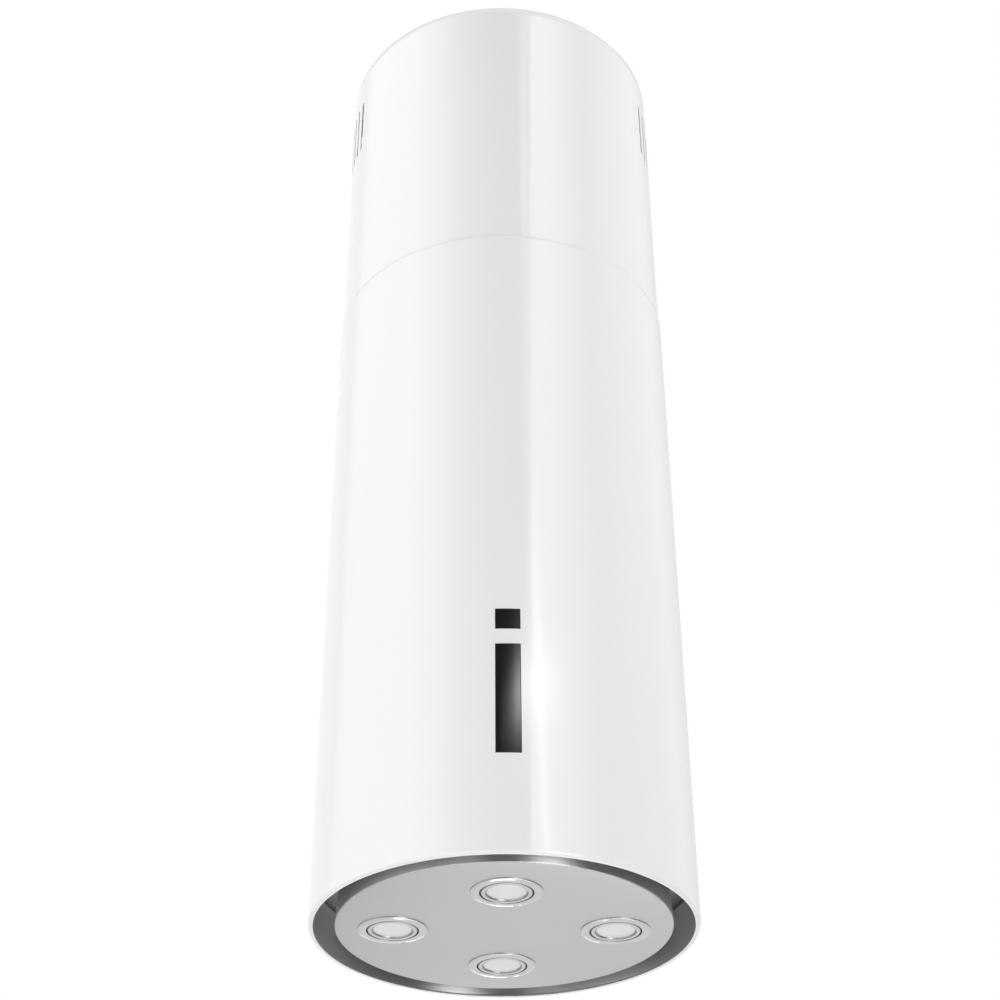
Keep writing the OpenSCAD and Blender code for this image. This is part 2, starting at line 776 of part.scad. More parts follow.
// The lamp's housing: a ring in view round the lens, a cup and a finned heat sink.
module lamp_body(i) {
    recess = 1;
    fin_h = lamp_depth - lamp_cup_h + cut;
    fin_in = lamp_core_r - 2;
    color("gainsboro") at_lamp(i) {
        difference() {
            translate([0, 0, -recess]) cylinder(r = ring_r, h = lamp_cup_h + recess);
            translate([0, 0, -recess - cut]) cylinder(r = lens_r, h = lamp_cup_h - 2 + recess);
            translate([0, 0, lens_low])
                cylinder(r = lens_r + lens_seat + fit, h = lamp_cup_h - 3 - lens_low);
        }
        translate([0, 0, lamp_cup_h - cut]) cylinder(r = lamp_core_r, h = fin_h);
        for (f = [0:lamp_fins - 1]) rotate([0, 0, 360 / lamp_fins * f])
            translate([fin_in, -lamp_fin_t / 2, lamp_cup_h - cut])
                cube([ring_r - fin_in - ring_gap, lamp_fin_t, fin_h]);
    }
}

module lamp_lens(i) {
    color("white") at_lamp(i) translate([0, 0, lens_low])
        cylinder(r = lens_r + lens_seat, h = lens_t);
}

// ---- Controls ----

// A window is a piece of a ring, flush with the shell.
module window_pane(w, h0, h) {
    intersection() {
        above_rim(h0 - cut) ring(shell_r, shell_r - window_t, h + 2 * cut);
        window_slab(w, h0, h);
    }
}

module display_window() color("black") window_pane(window_w, display_h, display_win_h);

module touch_window() color("black") window_pane(window_w, touch_h, touch_win_h);

// Places children at the studs' feet on the shell: X runs inwards.
module stud_spots() {
    stud_y = -sqrt(pow(inner_r, 2) - pow(housing_w / 2 + ear_w / 2, 2));
    for (side = [-1, 1], h = [housing_low_h + stud_end, housing_low_h + housing_h - stud_end])
        above_rim(h) translate([side * (housing_w / 2 + ear_w / 2), stud_y, 0])
            rotate([0, 0, 90]) rotate([0, 90, 0]) children();
}

// A moulded tray behind the windows, open to the back, with four ears.
module control_housing() {
    ear_y = -sqrt(pow(inner_r, 2) - pow(housing_w / 2 + ear_w / 2, 2)) + ear_plate_in;
    back_y = -inner_r + housing_depth;
    color("dimgray") difference() {
        union() {
            intersection() {
                above_rim(housing_low_h) translate([-housing_w / 2, -shell_r, 0])
                    cube([housing_w, back_y + shell_r, housing_h]);
                above_rim() cylinder(r = inner_r - play, h = shell_h);
            }
            above_rim(housing_low_h) translate([-housing_w / 2 - ear_w, ear_y, 0])
                cube([housing_w + 2 * ear_w, housing_t, housing_h]);
        }
        above_rim(housing_low_h + housing_t)
            translate([-housing_w / 2 + housing_t, -shell_r + window_t + housing_t + 1, 0])
                cube([housing_w - 2 * housing_t, shell_r, housing_h - 2 * housing_t]);
        windows(window_gap);
        stud_spots() cylinder(r = stud_r + play, h = stud_len);
    }
}

// Studs welded to the shell, whose feet follow its curve, with the nuts that hold the housing.
module control_studs() {
    color("gray") intersection() {
        stud_spots() {
            translate([0, 0, -1]) cylinder(r = stud_r, h = stud_len + 1);
            translate([0, 0, ear_plate_in + housing_t]) cylinder(r = 2 * stud_r, h = m4, $fn = 6);
        }
        above_rim() cylinder(r = inner_r - fit, h = shell_h);
    }
}

module control_board() {
    board_w = housing_w - 2 * housing_t - 2 * turn;
    board_h = housing_h - 2 * housing_t - 2 * turn;
    board_y = -shell_r + window_t + housing_t + readout_t + housing_t;
    low_h = housing_low_h + housing_t + turn;
    color("darkgreen") {
        above_rim(low_h) translate([-board_w / 2, board_y, 0]) cube([board_w, board_t, board_h]);
        above_rim(display_h + housing_t) translate([-window_w / 2 + housing_t, board_y - readout_t, 0])
            cube([window_w - 2 * housing_t, readout_t, display_win_h - 2 * housing_t]);
        for (i = [0:key_count - 1]) above_rim(touch_h + touch_win_h * (i + 0.5) / key_count)
            translate([0, board_y - key_h, 0]) rotate([-90, 0, 0]) cylinder(r = key_r, h = key_h);
        above_rim(low_h + key_r) translate([-plug_size.x / 2, board_y + board_t, 0]) cube(plug_size);
        above_rim(display_h) translate([-chip_size.x / 2, board_y + board_t, 0]) cube(chip_size);
    }
}

// ---- Blower ----

module bridge_screw_spots() for (i = [0:3]) rotate([0, 0, 90 * i]) for (at = [-1, 1])
    translate([box_half - box_flange / 2, at * box_half / 2, 0]) children();

module blower_box() {
    height = bridge_h - deck_top_h;
    inner = 2 * (box_half - box_t);
    opening = 2 * (box_half - box_flange);
    notch = frame_half - foot_w - turn;
    color("silver") difference() {
        above_rim(deck_top_h) block(box_w, box_w, height);
        above_rim(deck_top_h + box_t) block(inner, inner, height - 2 * box_t);
        above_rim(deck_top_h - cut) block(opening, opening, height + 2 * cut);
        above_rim(bridge_h) bridge_screw_spots() screw_hole(m4);
        for (i = [0:3]) corner(i) {
            standoff_spots() screw_hole(m4, 4);
            above_rim(deck_top_h - cut) translate([notch, notch, 0])
                cube([box_w, box_w, foot_t + foot_rise + cut]);
        }
        above_rim(power_h + power_size.z / 2) translate([0, box_half, 0]) rotate([90, 0, 0])
            cylinder(r = wire_hole_r, h = 4 * box_t, center = true);
    }
}

module collar_screw_spots() for (i = [0:3]) corner(i) rotate([0, 0, 45])
    translate([collar_screw_r, 0, 0]) children();

module bridge_plate() {
    color("silver") above_rim(bridge_h) difference() {
        block(box_w, box_w, bridge_t);
        translate([0, 0, -cut]) cylinder(r = duct_bore_r, h = bridge_t + 2 * cut);
        bridge_screw_spots() screw_hole(m4);
        collar_screw_spots() screw_hole(m4);
    }
}

// Turns its children so that their X is the hood's Y, their Y is up and their Z is the hood's X.
module blower_axis() above_rim(axis_h) translate([0, axis_y, 0]) rotate([90, 0, 90]) children();

// The casing's outline, grown by g: a spiral from the tongue to a straight outlet.
function scroll(g) =
    let (start = acos((tongue_x + g) / (tongue_r + g)), growth = scroll_r - tongue_r)
    concat(
        [for (i = [0:scroll_steps]) let (s = i / scroll_steps, a = start - s * (start + 180))
            (tongue_r + growth * s + g) * [cos(a), sin(a)]],
        [[-scroll_r - g, outlet_h], [tongue_x + g, outlet_h]]);

// One half of the casing, on the +X side: side plate, scroll wall, seam flange and inlet bell.
module casing_half_shell() {
    difference() {
        union() {
            linear_extrude(casing_half) polygon(scroll(casing_t));
            linear_extrude(casing_t) polygon(scroll(seam_w));
            translate([outlet_mid, outlet_h - casing_t, 0]) rotate([-90, 0, 0])
                translate([-outlet_w / 2 - joint_w, -casing_half, 0])
                    cube([outlet_w + 2 * joint_w, casing_half, casing_t]);
        }
        translate([0, 0, -cut]) linear_extrude(casing_half - casing_t + cut) polygon(scroll(0));
        translate([outlet_mid - outlet_w / 2, outlet_h - 2 * casing_t, -cut])
            cube([outlet_w, 4 * casing_t, casing_half - casing_t + cut]);
        translate([0, 0, casing_half - 2 * casing_t]) cylinder(r = inlet_r + bell_r - 1, h = 4 * casing_t);
        for (end = [-1, 1])
            translate([outlet_mid + end * (outlet_w + joint_w) / 2, outlet_h, casing_half / 2])
                rotate([-90, 0, 0]) screw_hole(m4);
        bracket_arms() screw_hole(m4, 12);
    }
    translate([0, 0, casing_half]) rotate_extrude() difference() {
        translate([inlet_r, -bell_r]) square([bell_r, bell_r]);
        translate([inlet_r + bell_r, -bell_r]) circle(r = bell_r - casing_t);
        difference() {
            translate([inlet_r - cut, -bell_r / 2]) square([bell_r + cut, bell_r]);
            translate([inlet_r + bell_r, -bell_r]) circle(r = bell_r);
        }
    }
}

module bracket_arms() for (i = [0:2]) rotate([0, 0, 120 * i + 30])
    translate([bracket_hole_r, 0, casing_half]) children();

module casing_right() color("gainsboro") blower_axis() casing_half_shell();

module casing_left() color("gainsboro") blower_axis() mirror([0, 0, 1]) casing_half_shell();

// A three-armed plate on the left inlet, which carries the motor.
module motor_bracket() {
    color("silver") blower_axis() mirror([0, 0, 1]) difference() {
        union() {
            translate([0, 0, casing_half]) cylinder(r = motor_r + 2, h = bracket_t);
            for (i = [0:2]) rotate([0, 0, 120 * i + 30]) {
                translate([0, -bracket_arm_w / 2, casing_half])
                    cube([bracket_hole_r, bracket_arm_w, bracket_t]);
                translate([bracket_hole_r, 0, casing_half]) cylinder(r = bracket_arm_w / 2, h = bracket_t);
            }
        }
        bracket_arms() screw_hole(m4, 12);
        motor_screw_spots() screw_hole(m4, 12);
    }
}

module motor_screw_spots() for (i = [0:2]) rotate([0, 0, 120 * i + 90])
    translate([motor_r - 10, 0, casing_half]) children();

module motor_case() {
    boss_r = hub_r + 2;
    rib_h = 2.4;
    color("dimgray") blower_axis() mirror([0, 0, 1]) difference() {
        union() {
            translate([0, 0, motor_front]) cylinder(r = motor_r - 2, h = motor_len);
            translate([0, 0, motor_front + 6]) cylinder(r = motor_r, h = 16);
            translate([0, 0, casing_half - 12]) cylinder(r = motor_r, h = 12);
            for (i = [0:motor_ribs - 1]) rotate([0, 0, 360 / motor_ribs * i])
                translate([motor_r - 3, -rib_h / 2, motor_front + 8]) cube([rib_h, rib_h, motor_len - 12]);
            translate([0, 0, motor_front - 3]) cylinder(r = boss_r, h = 3 + cut);
        }
        translate([0, 0, motor_front - 3 - cut]) cylinder(r = shaft_r + fit, h = shaft_in + 3 + cut + 1);
        motor_screw_spots() screw_hole(m4 - play);
    }
}

module motor_shaft() {
    color("silver") blower_axis() translate([0, 0, -motor_front - shaft_in])
        cylinder(r = shaft_r, h = motor_front + shaft_in + shaft_out);
}

function blade_edge(turned) =
    let (r0 = blade_in_r + blade_inset, r1 = wheel_d / 2 - blade_inset)
    [for (i = [0:blade_steps]) let (s = i / blade_steps, a = turned + blade_sweep * s * s)
        (r0 + (r1 - r0) * s) * [cos(a), sin(a)]];

// The impeller: forward-curved blades between two end rings, on a disc with a hub.
module impeller() {
    ring_t = 1.5;
    disc_t = 2;
    window_at = (blade_in_r + hub_cone_r) / 2;
    window_r = (blade_in_r - hub_cone_r) / 4;
    color("silver") blower_axis() difference() {
        union() {
            for (i = [0:blades - 1]) rotate([0, 0, 360 / blades * i])
                translate([0, 0, -wheel_w / 2]) linear_extrude(wheel_w)
                    polygon(concat(blade_edge(0), reversed(blade_edge(blade_deg))));
            for (end = [-wheel_w / 2, wheel_w / 2 - ring_t]) translate([0, 0, end])
                ring(wheel_d / 2, blade_in_r, ring_t);
            translate([0, 0, hub_x]) cylinder(r = wheel_d / 2, h = disc_t);
            translate([0, 0, hub_x - 6]) cylinder(r = hub_r, h = hub_len);
            translate([0, 0, hub_x]) cylinder(r1 = hub_cone_r, r2 = hub_cone_r - 8, h = 6);
        }
        translate([0, 0, -wheel_w]) cylinder(r = shaft_r, h = 2 * wheel_w);
        for (i = [0:5]) rotate([0, 0, 60 * i]) translate([window_at, 0, -wheel_w])
            cylinder(r = window_r, h = 2 * wheel_w);
    }
}

// The form of the outlet duct, grown by g: from the casing's outlet to the round hole.
module duct_form(g) {
    hull() {
        above_rim(bridge_h - transition_h) translate([0, axis_y + outlet_mid, 0])
            block(2 * (casing_half - casing_t + g), outlet_w + 2 * g, casing_t);
        above_rim(bridge_h - casing_t) cylinder(r = duct_bore_r + g, h = casing_t, $fn = duct_sides);
    }
}

module duct_screw_spots() above_rim(bridge_h - transition_h) translate([0, axis_y + outlet_mid, 0])
    for (x = [-1, 1], y = [-1, 1])
        translate([x * casing_half / 2, y * (outlet_w + joint_w) / 2, 0]) children();

// The duct from the casing's square outlet to the round hole in the bridge plate.
module outlet_duct() {
    color("gainsboro") difference() {
        union() {
            duct_form(casing_t);
            above_rim(bridge_h - transition_h) translate([0, axis_y + outlet_mid, 0])
                block(2 * casing_half, outlet_w + 2 * joint_w, casing_t);
            above_rim(bridge_h - casing_t) cylinder(r = duct_bore_r + joint_w, h = casing_t);
        }
        duct_form(0);
        above_rim(bridge_h - transition_h - cut) translate([0, axis_y + outlet_mid, 0])
            block(2 * (casing_half - casing_t), outlet_w, casing_t + cut);
        above_rim(bridge_h - casing_t) cylinder(r = duct_bore_r, h = casing_t + cut, $fn = duct_sides);
        duct_screw_spots() screw_hole(m4);
    }
}

// The duct spigot, with the pins of the flaps across it and a ledge that the flaps close on.
module outlet_collar() {
    color("gainsboro") difference() {
        union() {
            above_rim(bridge_h + bridge_t) ring(collar_flange_r, duct_bore_r, collar_flange_t);
            above_rim(bridge_h + bridge_t) ring(spigot_r, duct_bore_r, spigot_len + collar_flange_t);
            for (side = [0, 1]) mirror([side, 0, 0]) intersection() {
                above_rim(flap_h - flap_t / 2 - play - ledge_t)
                    ring(duct_bore_r + cut, duct_bore_r - ledge_w, ledge_t);
                above_rim() translate([joint_w, -shell_r, 0]) cube([shell_r, 2 * shell_r, shell_h]);
            }
            for (side = [-1, 1]) above_rim(flap_h) translate([side * flap_pin_x, 0, 0]) rotate([90, 0, 0])
                cylinder(r = flap_pin_r, h = 2 * duct_bore_r + 1, center = true);
        }
        above_rim(bridge_h + bridge_t) collar_screw_spots() screw_hole(m4);
    }
}

// A half-round flap on the +X side, which turns on the pin across the spigot.
module flap() {
    reach = duct_bore_r - 1;
    knuckle_len = 2 * reach - 16;
    above_rim(flap_h) difference() {
        union() {
            intersection() {
                translate([0, 0, -flap_t / 2]) cylinder(r = reach, h = flap_t);
                translate([flap_pin_x, -shell_r, -flap_t]) cube([shell_r, 2 * shell_r, 2 * flap_t]);
            }
            translate([flap_pin_x, 0, 0]) rotate([90, 0, 0])
                cylinder(r = flap_knuckle_r, h = knuckle_len, center = true);
        }
        translate([flap_pin_x, 0, 0]) rotate([90, 0, 0])
            cylinder(r = flap_pin_r + fit, h = 2 * shell_r, center = true);
    }
}

module flap_right() color("gray") flap();

module flap_left() color("gray") mirror([1, 0, 0]) flap();

module blower_screws() {
    color("gray") {
        above_rim(bridge_h + bridge_t) bridge_screw_spots()
            mirror([0, 0, 1]) screw(m4, bridge_t + box_t + 4);
        above_rim(bridge_h + bridge_t + collar_flange_t) collar_screw_spots()
            mirror([0, 0, 1]) screw(m4, collar_flange_t + bridge_t + 2);
        duct_screw_spots() translate([0, 0, -casing_t]) screw(m4, 2 * casing_t + 2);
        blower_axis() mirror([0, 0, 1]) {
            translate([0, 0, bracket_t]) {
                bracket_arms() mirror([0, 0, 1]) screw(m4, bracket_t + casing_t + 2);
                motor_screw_spots() mirror([0, 0, 1]) screw(m4 - play, bracket_t + 6);
            }
        }
    }
}

// ---- Power box ----

module lid_screw_spots() for (x = [-1, 1], z = [-1, 1])
    translate([x * (power_size.x / 2 - lid_screw_in), 0, z * (power_size.z / 2 - lid_screw_in)])
        children();

module power_box() {
    depth = power_size.y - power_wall;
    color("silver") above_rim(power_h) translate([0, box_half, 0]) difference() {
        translate([-power_size.x / 2, 0, 0]) cube([power_size.x, depth, power_size.z]);
        difference() {
            translate([-power_size.x / 2 + power_wall, power_wall, power_wall])
                cube([power_size.x - 2 * power_wall, depth, power_size.z - 2 * power_wall]);
            translate([0, 0, power_size.z / 2]) lid_screw_spots() rotate([-90, 0, 0])
                translate([-lid_post / 2, -lid_post / 2, 0]) cube([lid_post, lid_post, depth]);
        }
        translate([0, 0, power_size.z / 2]) lid_screw_spots() rotate([-90, 0, 0])
            translate([0, 0, depth - 10]) cylinder(r = lid_screw_r, h = 10 + cut);
        translate([0, -cut, power_size.z / 2]) rotate([-90, 0, 0])
            cylinder(r = wire_hole_r, h = power_wall + 2 * cut);
        translate([gland_x, power_size.y / 2, power_size.z - power_wall - cut])
            cylinder(r = gland_thread_r + play, h = power_wall + 2 * cut);
    }
}

module power_box_lid() {
    color("silver") above_rim(power_h) translate([0, box_half + power_size.y - power_wall, 0]) {
        difference() {
            translate([-power_size.x / 2, 0, 0]) cube([power_size.x, power_wall, power_size.z]);
            translate([0, 0, power_size.z / 2]) lid_screw_spots()
                rotate([-90, 0, 0]) screw_hole(lid_screw_r);
        }
        translate([0, power_wall, power_size.z / 2]) lid_screw_spots() rotate([90, 0, 0])
            screw(lid_screw_r, power_wall + 6);
    }
}

// The lamp driver and motor control, on stand-offs in the power box.
module driver_board() {
    w = power_size.x - 2 * (power_wall + board_margin.x);
    h = power_size.z - 2 * (power_wall + board_margin.y);
    low = (power_size.z - h) / 2;
    face = board_post_len + board_t;
    post_x = w / 2 - board_post_in;
    post_z = h / 2 - board_post_in;
    pitch = capacitor_len - 4;
    step = terminal_size.x + 4;
    color("darkgreen") above_rim(power_h) translate([0, box_half + power_wall, 0]) {
        translate([-w / 2, board_post_len, low]) cube([w, board_t, h]);
        for (x = [-1, 1], z = [-1, 1]) translate([x * post_x, 0, power_size.z / 2 + z * post_z])
            rotate([-90, 0, 0]) cylinder(r = board_post_in - m4, h = board_post_len);
        translate([-w / 2 + 2 * board_t, face, low + board_margin.y]) cube(coil_size);
        for (i = [0:2]) translate([pitch * (i + 1) - 2, face, low + coil_size.z]) rotate([-90, 0, 0])
            cylinder(r = capacitor_r, h = capacitor_len);
        for (i = [0:3]) translate([(i - 2) * step + 2, face, low + h - terminal_size.z - board_margin.y])
            cube(terminal_size);
    }
}

module cable_gland() {
    nut = 4;
    hex_h = 6;
    cap_h = gland_len - nut - power_wall - hex_h;
    color("dimgray") above_rim(power_h + power_size.z) translate([gland_x, gland_y, 0]) difference() {
        union() {
            translate([0, 0, -power_wall - nut]) cylinder(r = gland_thread_r, h = nut + power_wall + cut);
            translate([0, 0, -power_wall - nut]) cylinder(r = gland_hex_r, h = nut, $fn = 6);
            cylinder(r = gland_hex_r, h = hex_h, $fn = 6);
            translate([0, 0, hex_h - cut]) cylinder(r = gland_cap_r, h = cap_h + cut);
        }
        translate([0, 0, -gland_len]) cylinder(r = gland_bore_r, h = 2 * gland_len);
    }
}

// ---- Pieces ----

ceiling_plate();
upper_upright(0);  // upper_upright_1
upper_upright(1);  // upper_upright_2
upper_upright(2);  // upper_upright_3
upper_upright(3);  // upper_upright_4
upper_tube();
tube_brackets();
ceiling_screws();
lower_shell();
shell_hangers();
lower_upright(0);  // lower_upright_1
lower_upright(1);  // lower_upright_2
lower_upright(2);  // lower_upright_3
lower_upright(3);  // lower_upright_4
clamp_screws();
standoffs();
deck_screws();
lining_band();
intake_deck();
hinge_arms();
magnet_catches();
filter_frame();
filter_mesh();
filter_latch();
blower_box();
bridge_plate();
casing_left();
casing_right();
motor_case();
motor_bracket();
motor_shaft();
impeller();
outlet_duct();
outlet_collar();
flap_left();
flap_right();
blower_screws();
power_box();
power_box_lid();
driver_board();
cable_gland();
display_window();
touch_window();
control_housing();
control_board();
control_studs();
perimeter_panel();
hinge_pins();
lamp_bezel(1);  // lamp_bezel_1
lamp_bezel(2);  // lamp_bezel_2
lamp_bezel(3);  // lamp_bezel_3
lamp_bezel(4);  // lamp_bezel_4
lamp_lens(1);  // lamp_lens_1
lamp_lens(2);  // lamp_lens_2
lamp_lens(3);  // lamp_lens_3
lamp_lens(4);  // lamp_lens_4
lamp_body(1);  // lamp_body_1
lamp_body(2);  // lamp_body_2
lamp_body(3);  // lamp_body_3
lamp_body(4);  // lamp_body_4
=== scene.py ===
"""Dresses the island range hood: finishes, fine forms, studio light and camera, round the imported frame."""
import logging
import math
from dataclasses import dataclass, field
from enum import Enum
from typing import Any, Callable, Iterable, Sequence

import bmesh
import bpy
from mathutils import Matrix, Vector


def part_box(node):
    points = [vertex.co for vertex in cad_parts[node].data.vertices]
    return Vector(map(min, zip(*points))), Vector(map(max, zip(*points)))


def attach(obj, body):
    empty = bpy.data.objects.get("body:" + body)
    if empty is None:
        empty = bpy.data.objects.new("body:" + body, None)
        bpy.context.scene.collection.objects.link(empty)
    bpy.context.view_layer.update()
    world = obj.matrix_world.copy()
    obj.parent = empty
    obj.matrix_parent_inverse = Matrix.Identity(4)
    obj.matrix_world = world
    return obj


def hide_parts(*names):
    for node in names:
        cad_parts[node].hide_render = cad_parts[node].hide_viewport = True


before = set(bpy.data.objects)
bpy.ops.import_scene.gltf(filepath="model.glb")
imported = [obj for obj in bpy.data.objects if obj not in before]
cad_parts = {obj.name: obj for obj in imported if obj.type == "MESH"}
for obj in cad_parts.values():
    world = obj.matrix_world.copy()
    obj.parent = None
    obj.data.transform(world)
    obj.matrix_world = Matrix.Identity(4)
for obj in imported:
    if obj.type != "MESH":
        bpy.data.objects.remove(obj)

LOG = logging.getLogger("range_hood")
MM = 0.001
# Width of the camera's sensor, in millimetres.
SENSOR_WIDTH = 36.0
Profile = list[tuple[float, float]]


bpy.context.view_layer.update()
RIM_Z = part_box("lower_shell")[0].z
SHELL_TOP_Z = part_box("lower_shell")[1].z
SHELL_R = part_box("lower_shell")[1].x
TUBE_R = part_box("upper_tube")[1].x


class Grain(Enum):
    """The way the brushing of a steel sheet runs."""

    ALONG_X = "along_x"
    ROUND_Z = "round_z"


class Part(Enum):
    """The moving bodies that pieces ride on."""

    CEILING = "ceiling_frame"
    HOOD = "hood_body"
    PANEL = "panel"


# ---------------------------------------------------------------- node trees


class Tree:
    """A node tree that is built from Python expressions."""

    def __init__(self, tree: bpy.types.NodeTree) -> None:
        """Keeps the shader or geometry node tree that nodes go into."""
        self.tree = tree

    def node(self, kind: str, settings: dict[str, Any] | None = None, **sockets: Any) -> bpy.types.Node:
        """Adds a node, sets it up and then fills or links its sockets.

        Args:
            kind: The node's type.
            settings: Properties of the node, and "stops" for a ramp, set before its sockets.
            **sockets: A value or a Wire for each input, by name with _ for a space, or in0, in1 by place.

        Returns:
            The new node.
        """
        made = self.tree.nodes.new(kind)
        for name, value in (settings or {}).items():
            if name == "stops":
                self._fill_ramp(made.color_ramp, value)
            else:
                setattr(made, name, value)
        for name, value in sockets.items():
            place = int(name[2:]) if name[:2] == "in" and name[2:].isdigit() else name.replace("_", " ")
            socket = made.inputs[place]
            if isinstance(value, Wire):
                self.tree.links.new(value.socket, socket)
            elif value is not None:
                socket.default_value = value
        return made

    @staticmethod
    def _fill_ramp(ramp: bpy.types.ColorRamp, stops: Sequence[tuple[float, float]]) -> None:
        """Gives a ramp its grey stops.

        Args:
            ramp: The ramp to fill.
            stops: Position and grey level of each stop.
        """
        while len(ramp.elements) > 1:
            ramp.elements.remove(ramp.elements[-1])
        for i, (place, level) in enumerate(stops):
            element = ramp.elements[0] if i == 0 else ramp.elements.new(place)
            element.position = place
            element.color = (level, level, level, 1.0)

    def wire(self, kind: str, output: int | str = 0, settings: dict[str, Any] | None = None,
             **sockets: Any) -> "Wire":
        """Adds a node as node() does, and gives one of its outputs as a Wire."""
        return Wire(self, self.node(kind, settings, **sockets).outputs[output])

    def join(self, value: "Wire", node: bpy.types.Node, place: int | str) -> None:
        """Links a wire to a node's input."""
        self.tree.links.new(value.socket, node.inputs[place])


class Wire:
    """An output socket that can be used in arithmetic."""

    def __init__(self, tree: Tree, socket: bpy.types.NodeSocket) -> None:
        """Keeps the socket and the tree it is in."""
        self.tree = tree
        self.socket = socket

    def _maths(self, operation: str, first: Any, second: Any = None) -> "Wire":
        """Adds one Math node of one or two Wires or numbers, and gives its result."""
        return self.tree.wire("ShaderNodeMath", settings={"operation": operation}, in0=first, in1=second)

    def __add__(self, other: Any) -> "Wire":
        """self + other."""
        return self._maths("ADD", self, other)

    __radd__ = __add__

    def __sub__(self, other: Any) -> "Wire":
        """self - other."""
        return self._maths("SUBTRACT", self, other)

    def __rsub__(self, other: Any) -> "Wire":
        """other - self."""
        return self._maths("SUBTRACT", other, self)

    def __mul__(self, other: Any) -> "Wire":
        """self * other."""
        return self._maths("MULTIPLY", self, other)

    __rmul__ = __mul__

    def __truediv__(self, other: Any) -> "Wire":
        """self / other."""
        return self._maths("DIVIDE", self, other)

    def __pow__(self, other: Any) -> "Wire":
        """self ** other."""
        return self._maths("POWER", self, other)

    def angle_to(self, other: "Wire") -> "Wire":
        """atan2(self, other)."""
        return self._maths("ARCTAN2", self, other)

    def most(self, other: Any) -> "Wire":
        """The greater of self and other."""
        return self._maths("MAXIMUM", self, other)


# ---------------------------------------------------------------- finishes


class Shader(Tree):
    """A material with one Principled shader and the wires that most finishes use."""

    def __init__(self, name: str, constants: dict[str, Any]) -> None:
        """Starts a material.

        Args:
            name: The material's name.
            constants: Values for the shader's own sockets.
        """
        self.material = bpy.data.materials.new(name)
        self.material.use_nodes = True
        super().__init__(self.material.node_tree)
        self.surface = self.tree.nodes["Principled BSDF"]
        for socket, value in constants.items():
            self.surface.inputs[socket].default_value = value
        place = self.node("ShaderNodeTexCoord")
        self.place = Wire(self, place.outputs["Object"])
        split = self.node("ShaderNodeSeparateXYZ", Vector=self.place)
        self.x, self.y, self.z = (Wire(self, output) for output in split.outputs)

    def vector(self, x: Any, y: Any, z: Any) -> Wire:
        """A vector of three wires or numbers."""
        return self.wire("ShaderNodeCombineXYZ", X=x, Y=y, Z=z)

    def noise(self, vector: Wire, scale: float, detail: float = 3.0, roughness: float = 0.5) -> Wire:
        """A noise value from 0 to 1, whose scale is lumps per metre and whose detail is octaves."""
        return self.wire("ShaderNodeTexNoise", Vector=vector, Scale=scale, Detail=detail, Roughness=roughness)

    def ramp(self, value: Wire, stops: Sequence[tuple[float, float]]) -> Wire:
        """A grey level read from stops."""
        return self.wire("ShaderNodeValToRGB", settings={"stops": stops}, Fac=value)

    def blend(self, factor: Wire, first: Sequence[float], second: Sequence[float]) -> Wire:
        """A colour between two colours of red, green and blue: 0 gives the first, 1 the second."""
        return self.wire("ShaderNodeMix", output=2, settings={"data_type": "RGBA"}, in0=factor,
                         in6=(*first, 1.0), in7=(*second, 1.0))

    def bump(self, height: Wire, depth: float, strength: float = 1.0) -> None:
        """Bumps the surface by a relief from 0 to 1 that is as deep as depth, in metres."""
        normal = self.wire("ShaderNodeBump", Height=height, Distance=depth, Strength=strength)
        self.join(normal, self.surface, "Normal")

    def colour(self, value: Wire) -> None:
        """Feeds the base colour."""
        self.join(value, self.surface, "Base Color")

    def rough(self, value: Wire) -> None:
        """Feeds the roughness."""
        self.join(value, self.surface, "Roughness")

    def swap(self, factor: Wire, other: Wire) -> None:
        """Shows another shader where the factor is 1.

        Args:
            factor: 0 for what the output shows so far, 1 for the other shader.
            other: The other shader.
        """
        end = self.tree.nodes["Material Output"]
        so_far = Wire(self, end.inputs["Surface"].links[0].from_socket)
        self.join(self.wire("ShaderNodeMixShader", in0=factor, in1=so_far, in2=other), end, "Surface")


@dataclass(frozen=True)
class Finish:
    """A finish that makes its material once.

    Attributes:
        name: The material's name.
        slot: The record's slot for this finish; not used in this script.
    """

    name: str
    slot: str

    def material(self) -> bpy.types.Material:
        """The finish's material, made the first time it is asked for."""
        found = bpy.data.materials.get(self.name)
        return found or self.build()

    def build(self) -> bpy.types.Material:
        """Builds the material."""
        raise NotImplementedError


@dataclass(frozen=True)
class GlossPaint(Finish):
    """A sprayed and baked gloss coat on sheet metal.

    Attributes:
        tone: The paint's colour.
        peel: Depth of the orange peel in metres.
    """

    tone: tuple[float, float, float] = (0.865, 0.865, 0.865)
    peel: float = 0.000004

    def build(self) -> bpy.types.Material:
        """Builds the paint: an even colour under a clear coat with the faintest orange peel.

        Returns:
            The material.
        """
        s = Shader(self.name, {"Specular IOR Level": 0.15, "Coat Weight": 1.0, "Coat Roughness": 0.035,
                               "Coat IOR": 1.5})
        cloud = s.noise(s.place, 5.0, 2.0)
        deeper = [c * 0.985 for c in self.tone]
        s.colour(s.blend(cloud, deeper, self.tone))
        s.rough(0.20 + s.noise(s.place, 90.0) * 0.06)
        s.bump(s.noise(s.place, 420.0, 2.0), self.peel, 0.5)
        return s.material


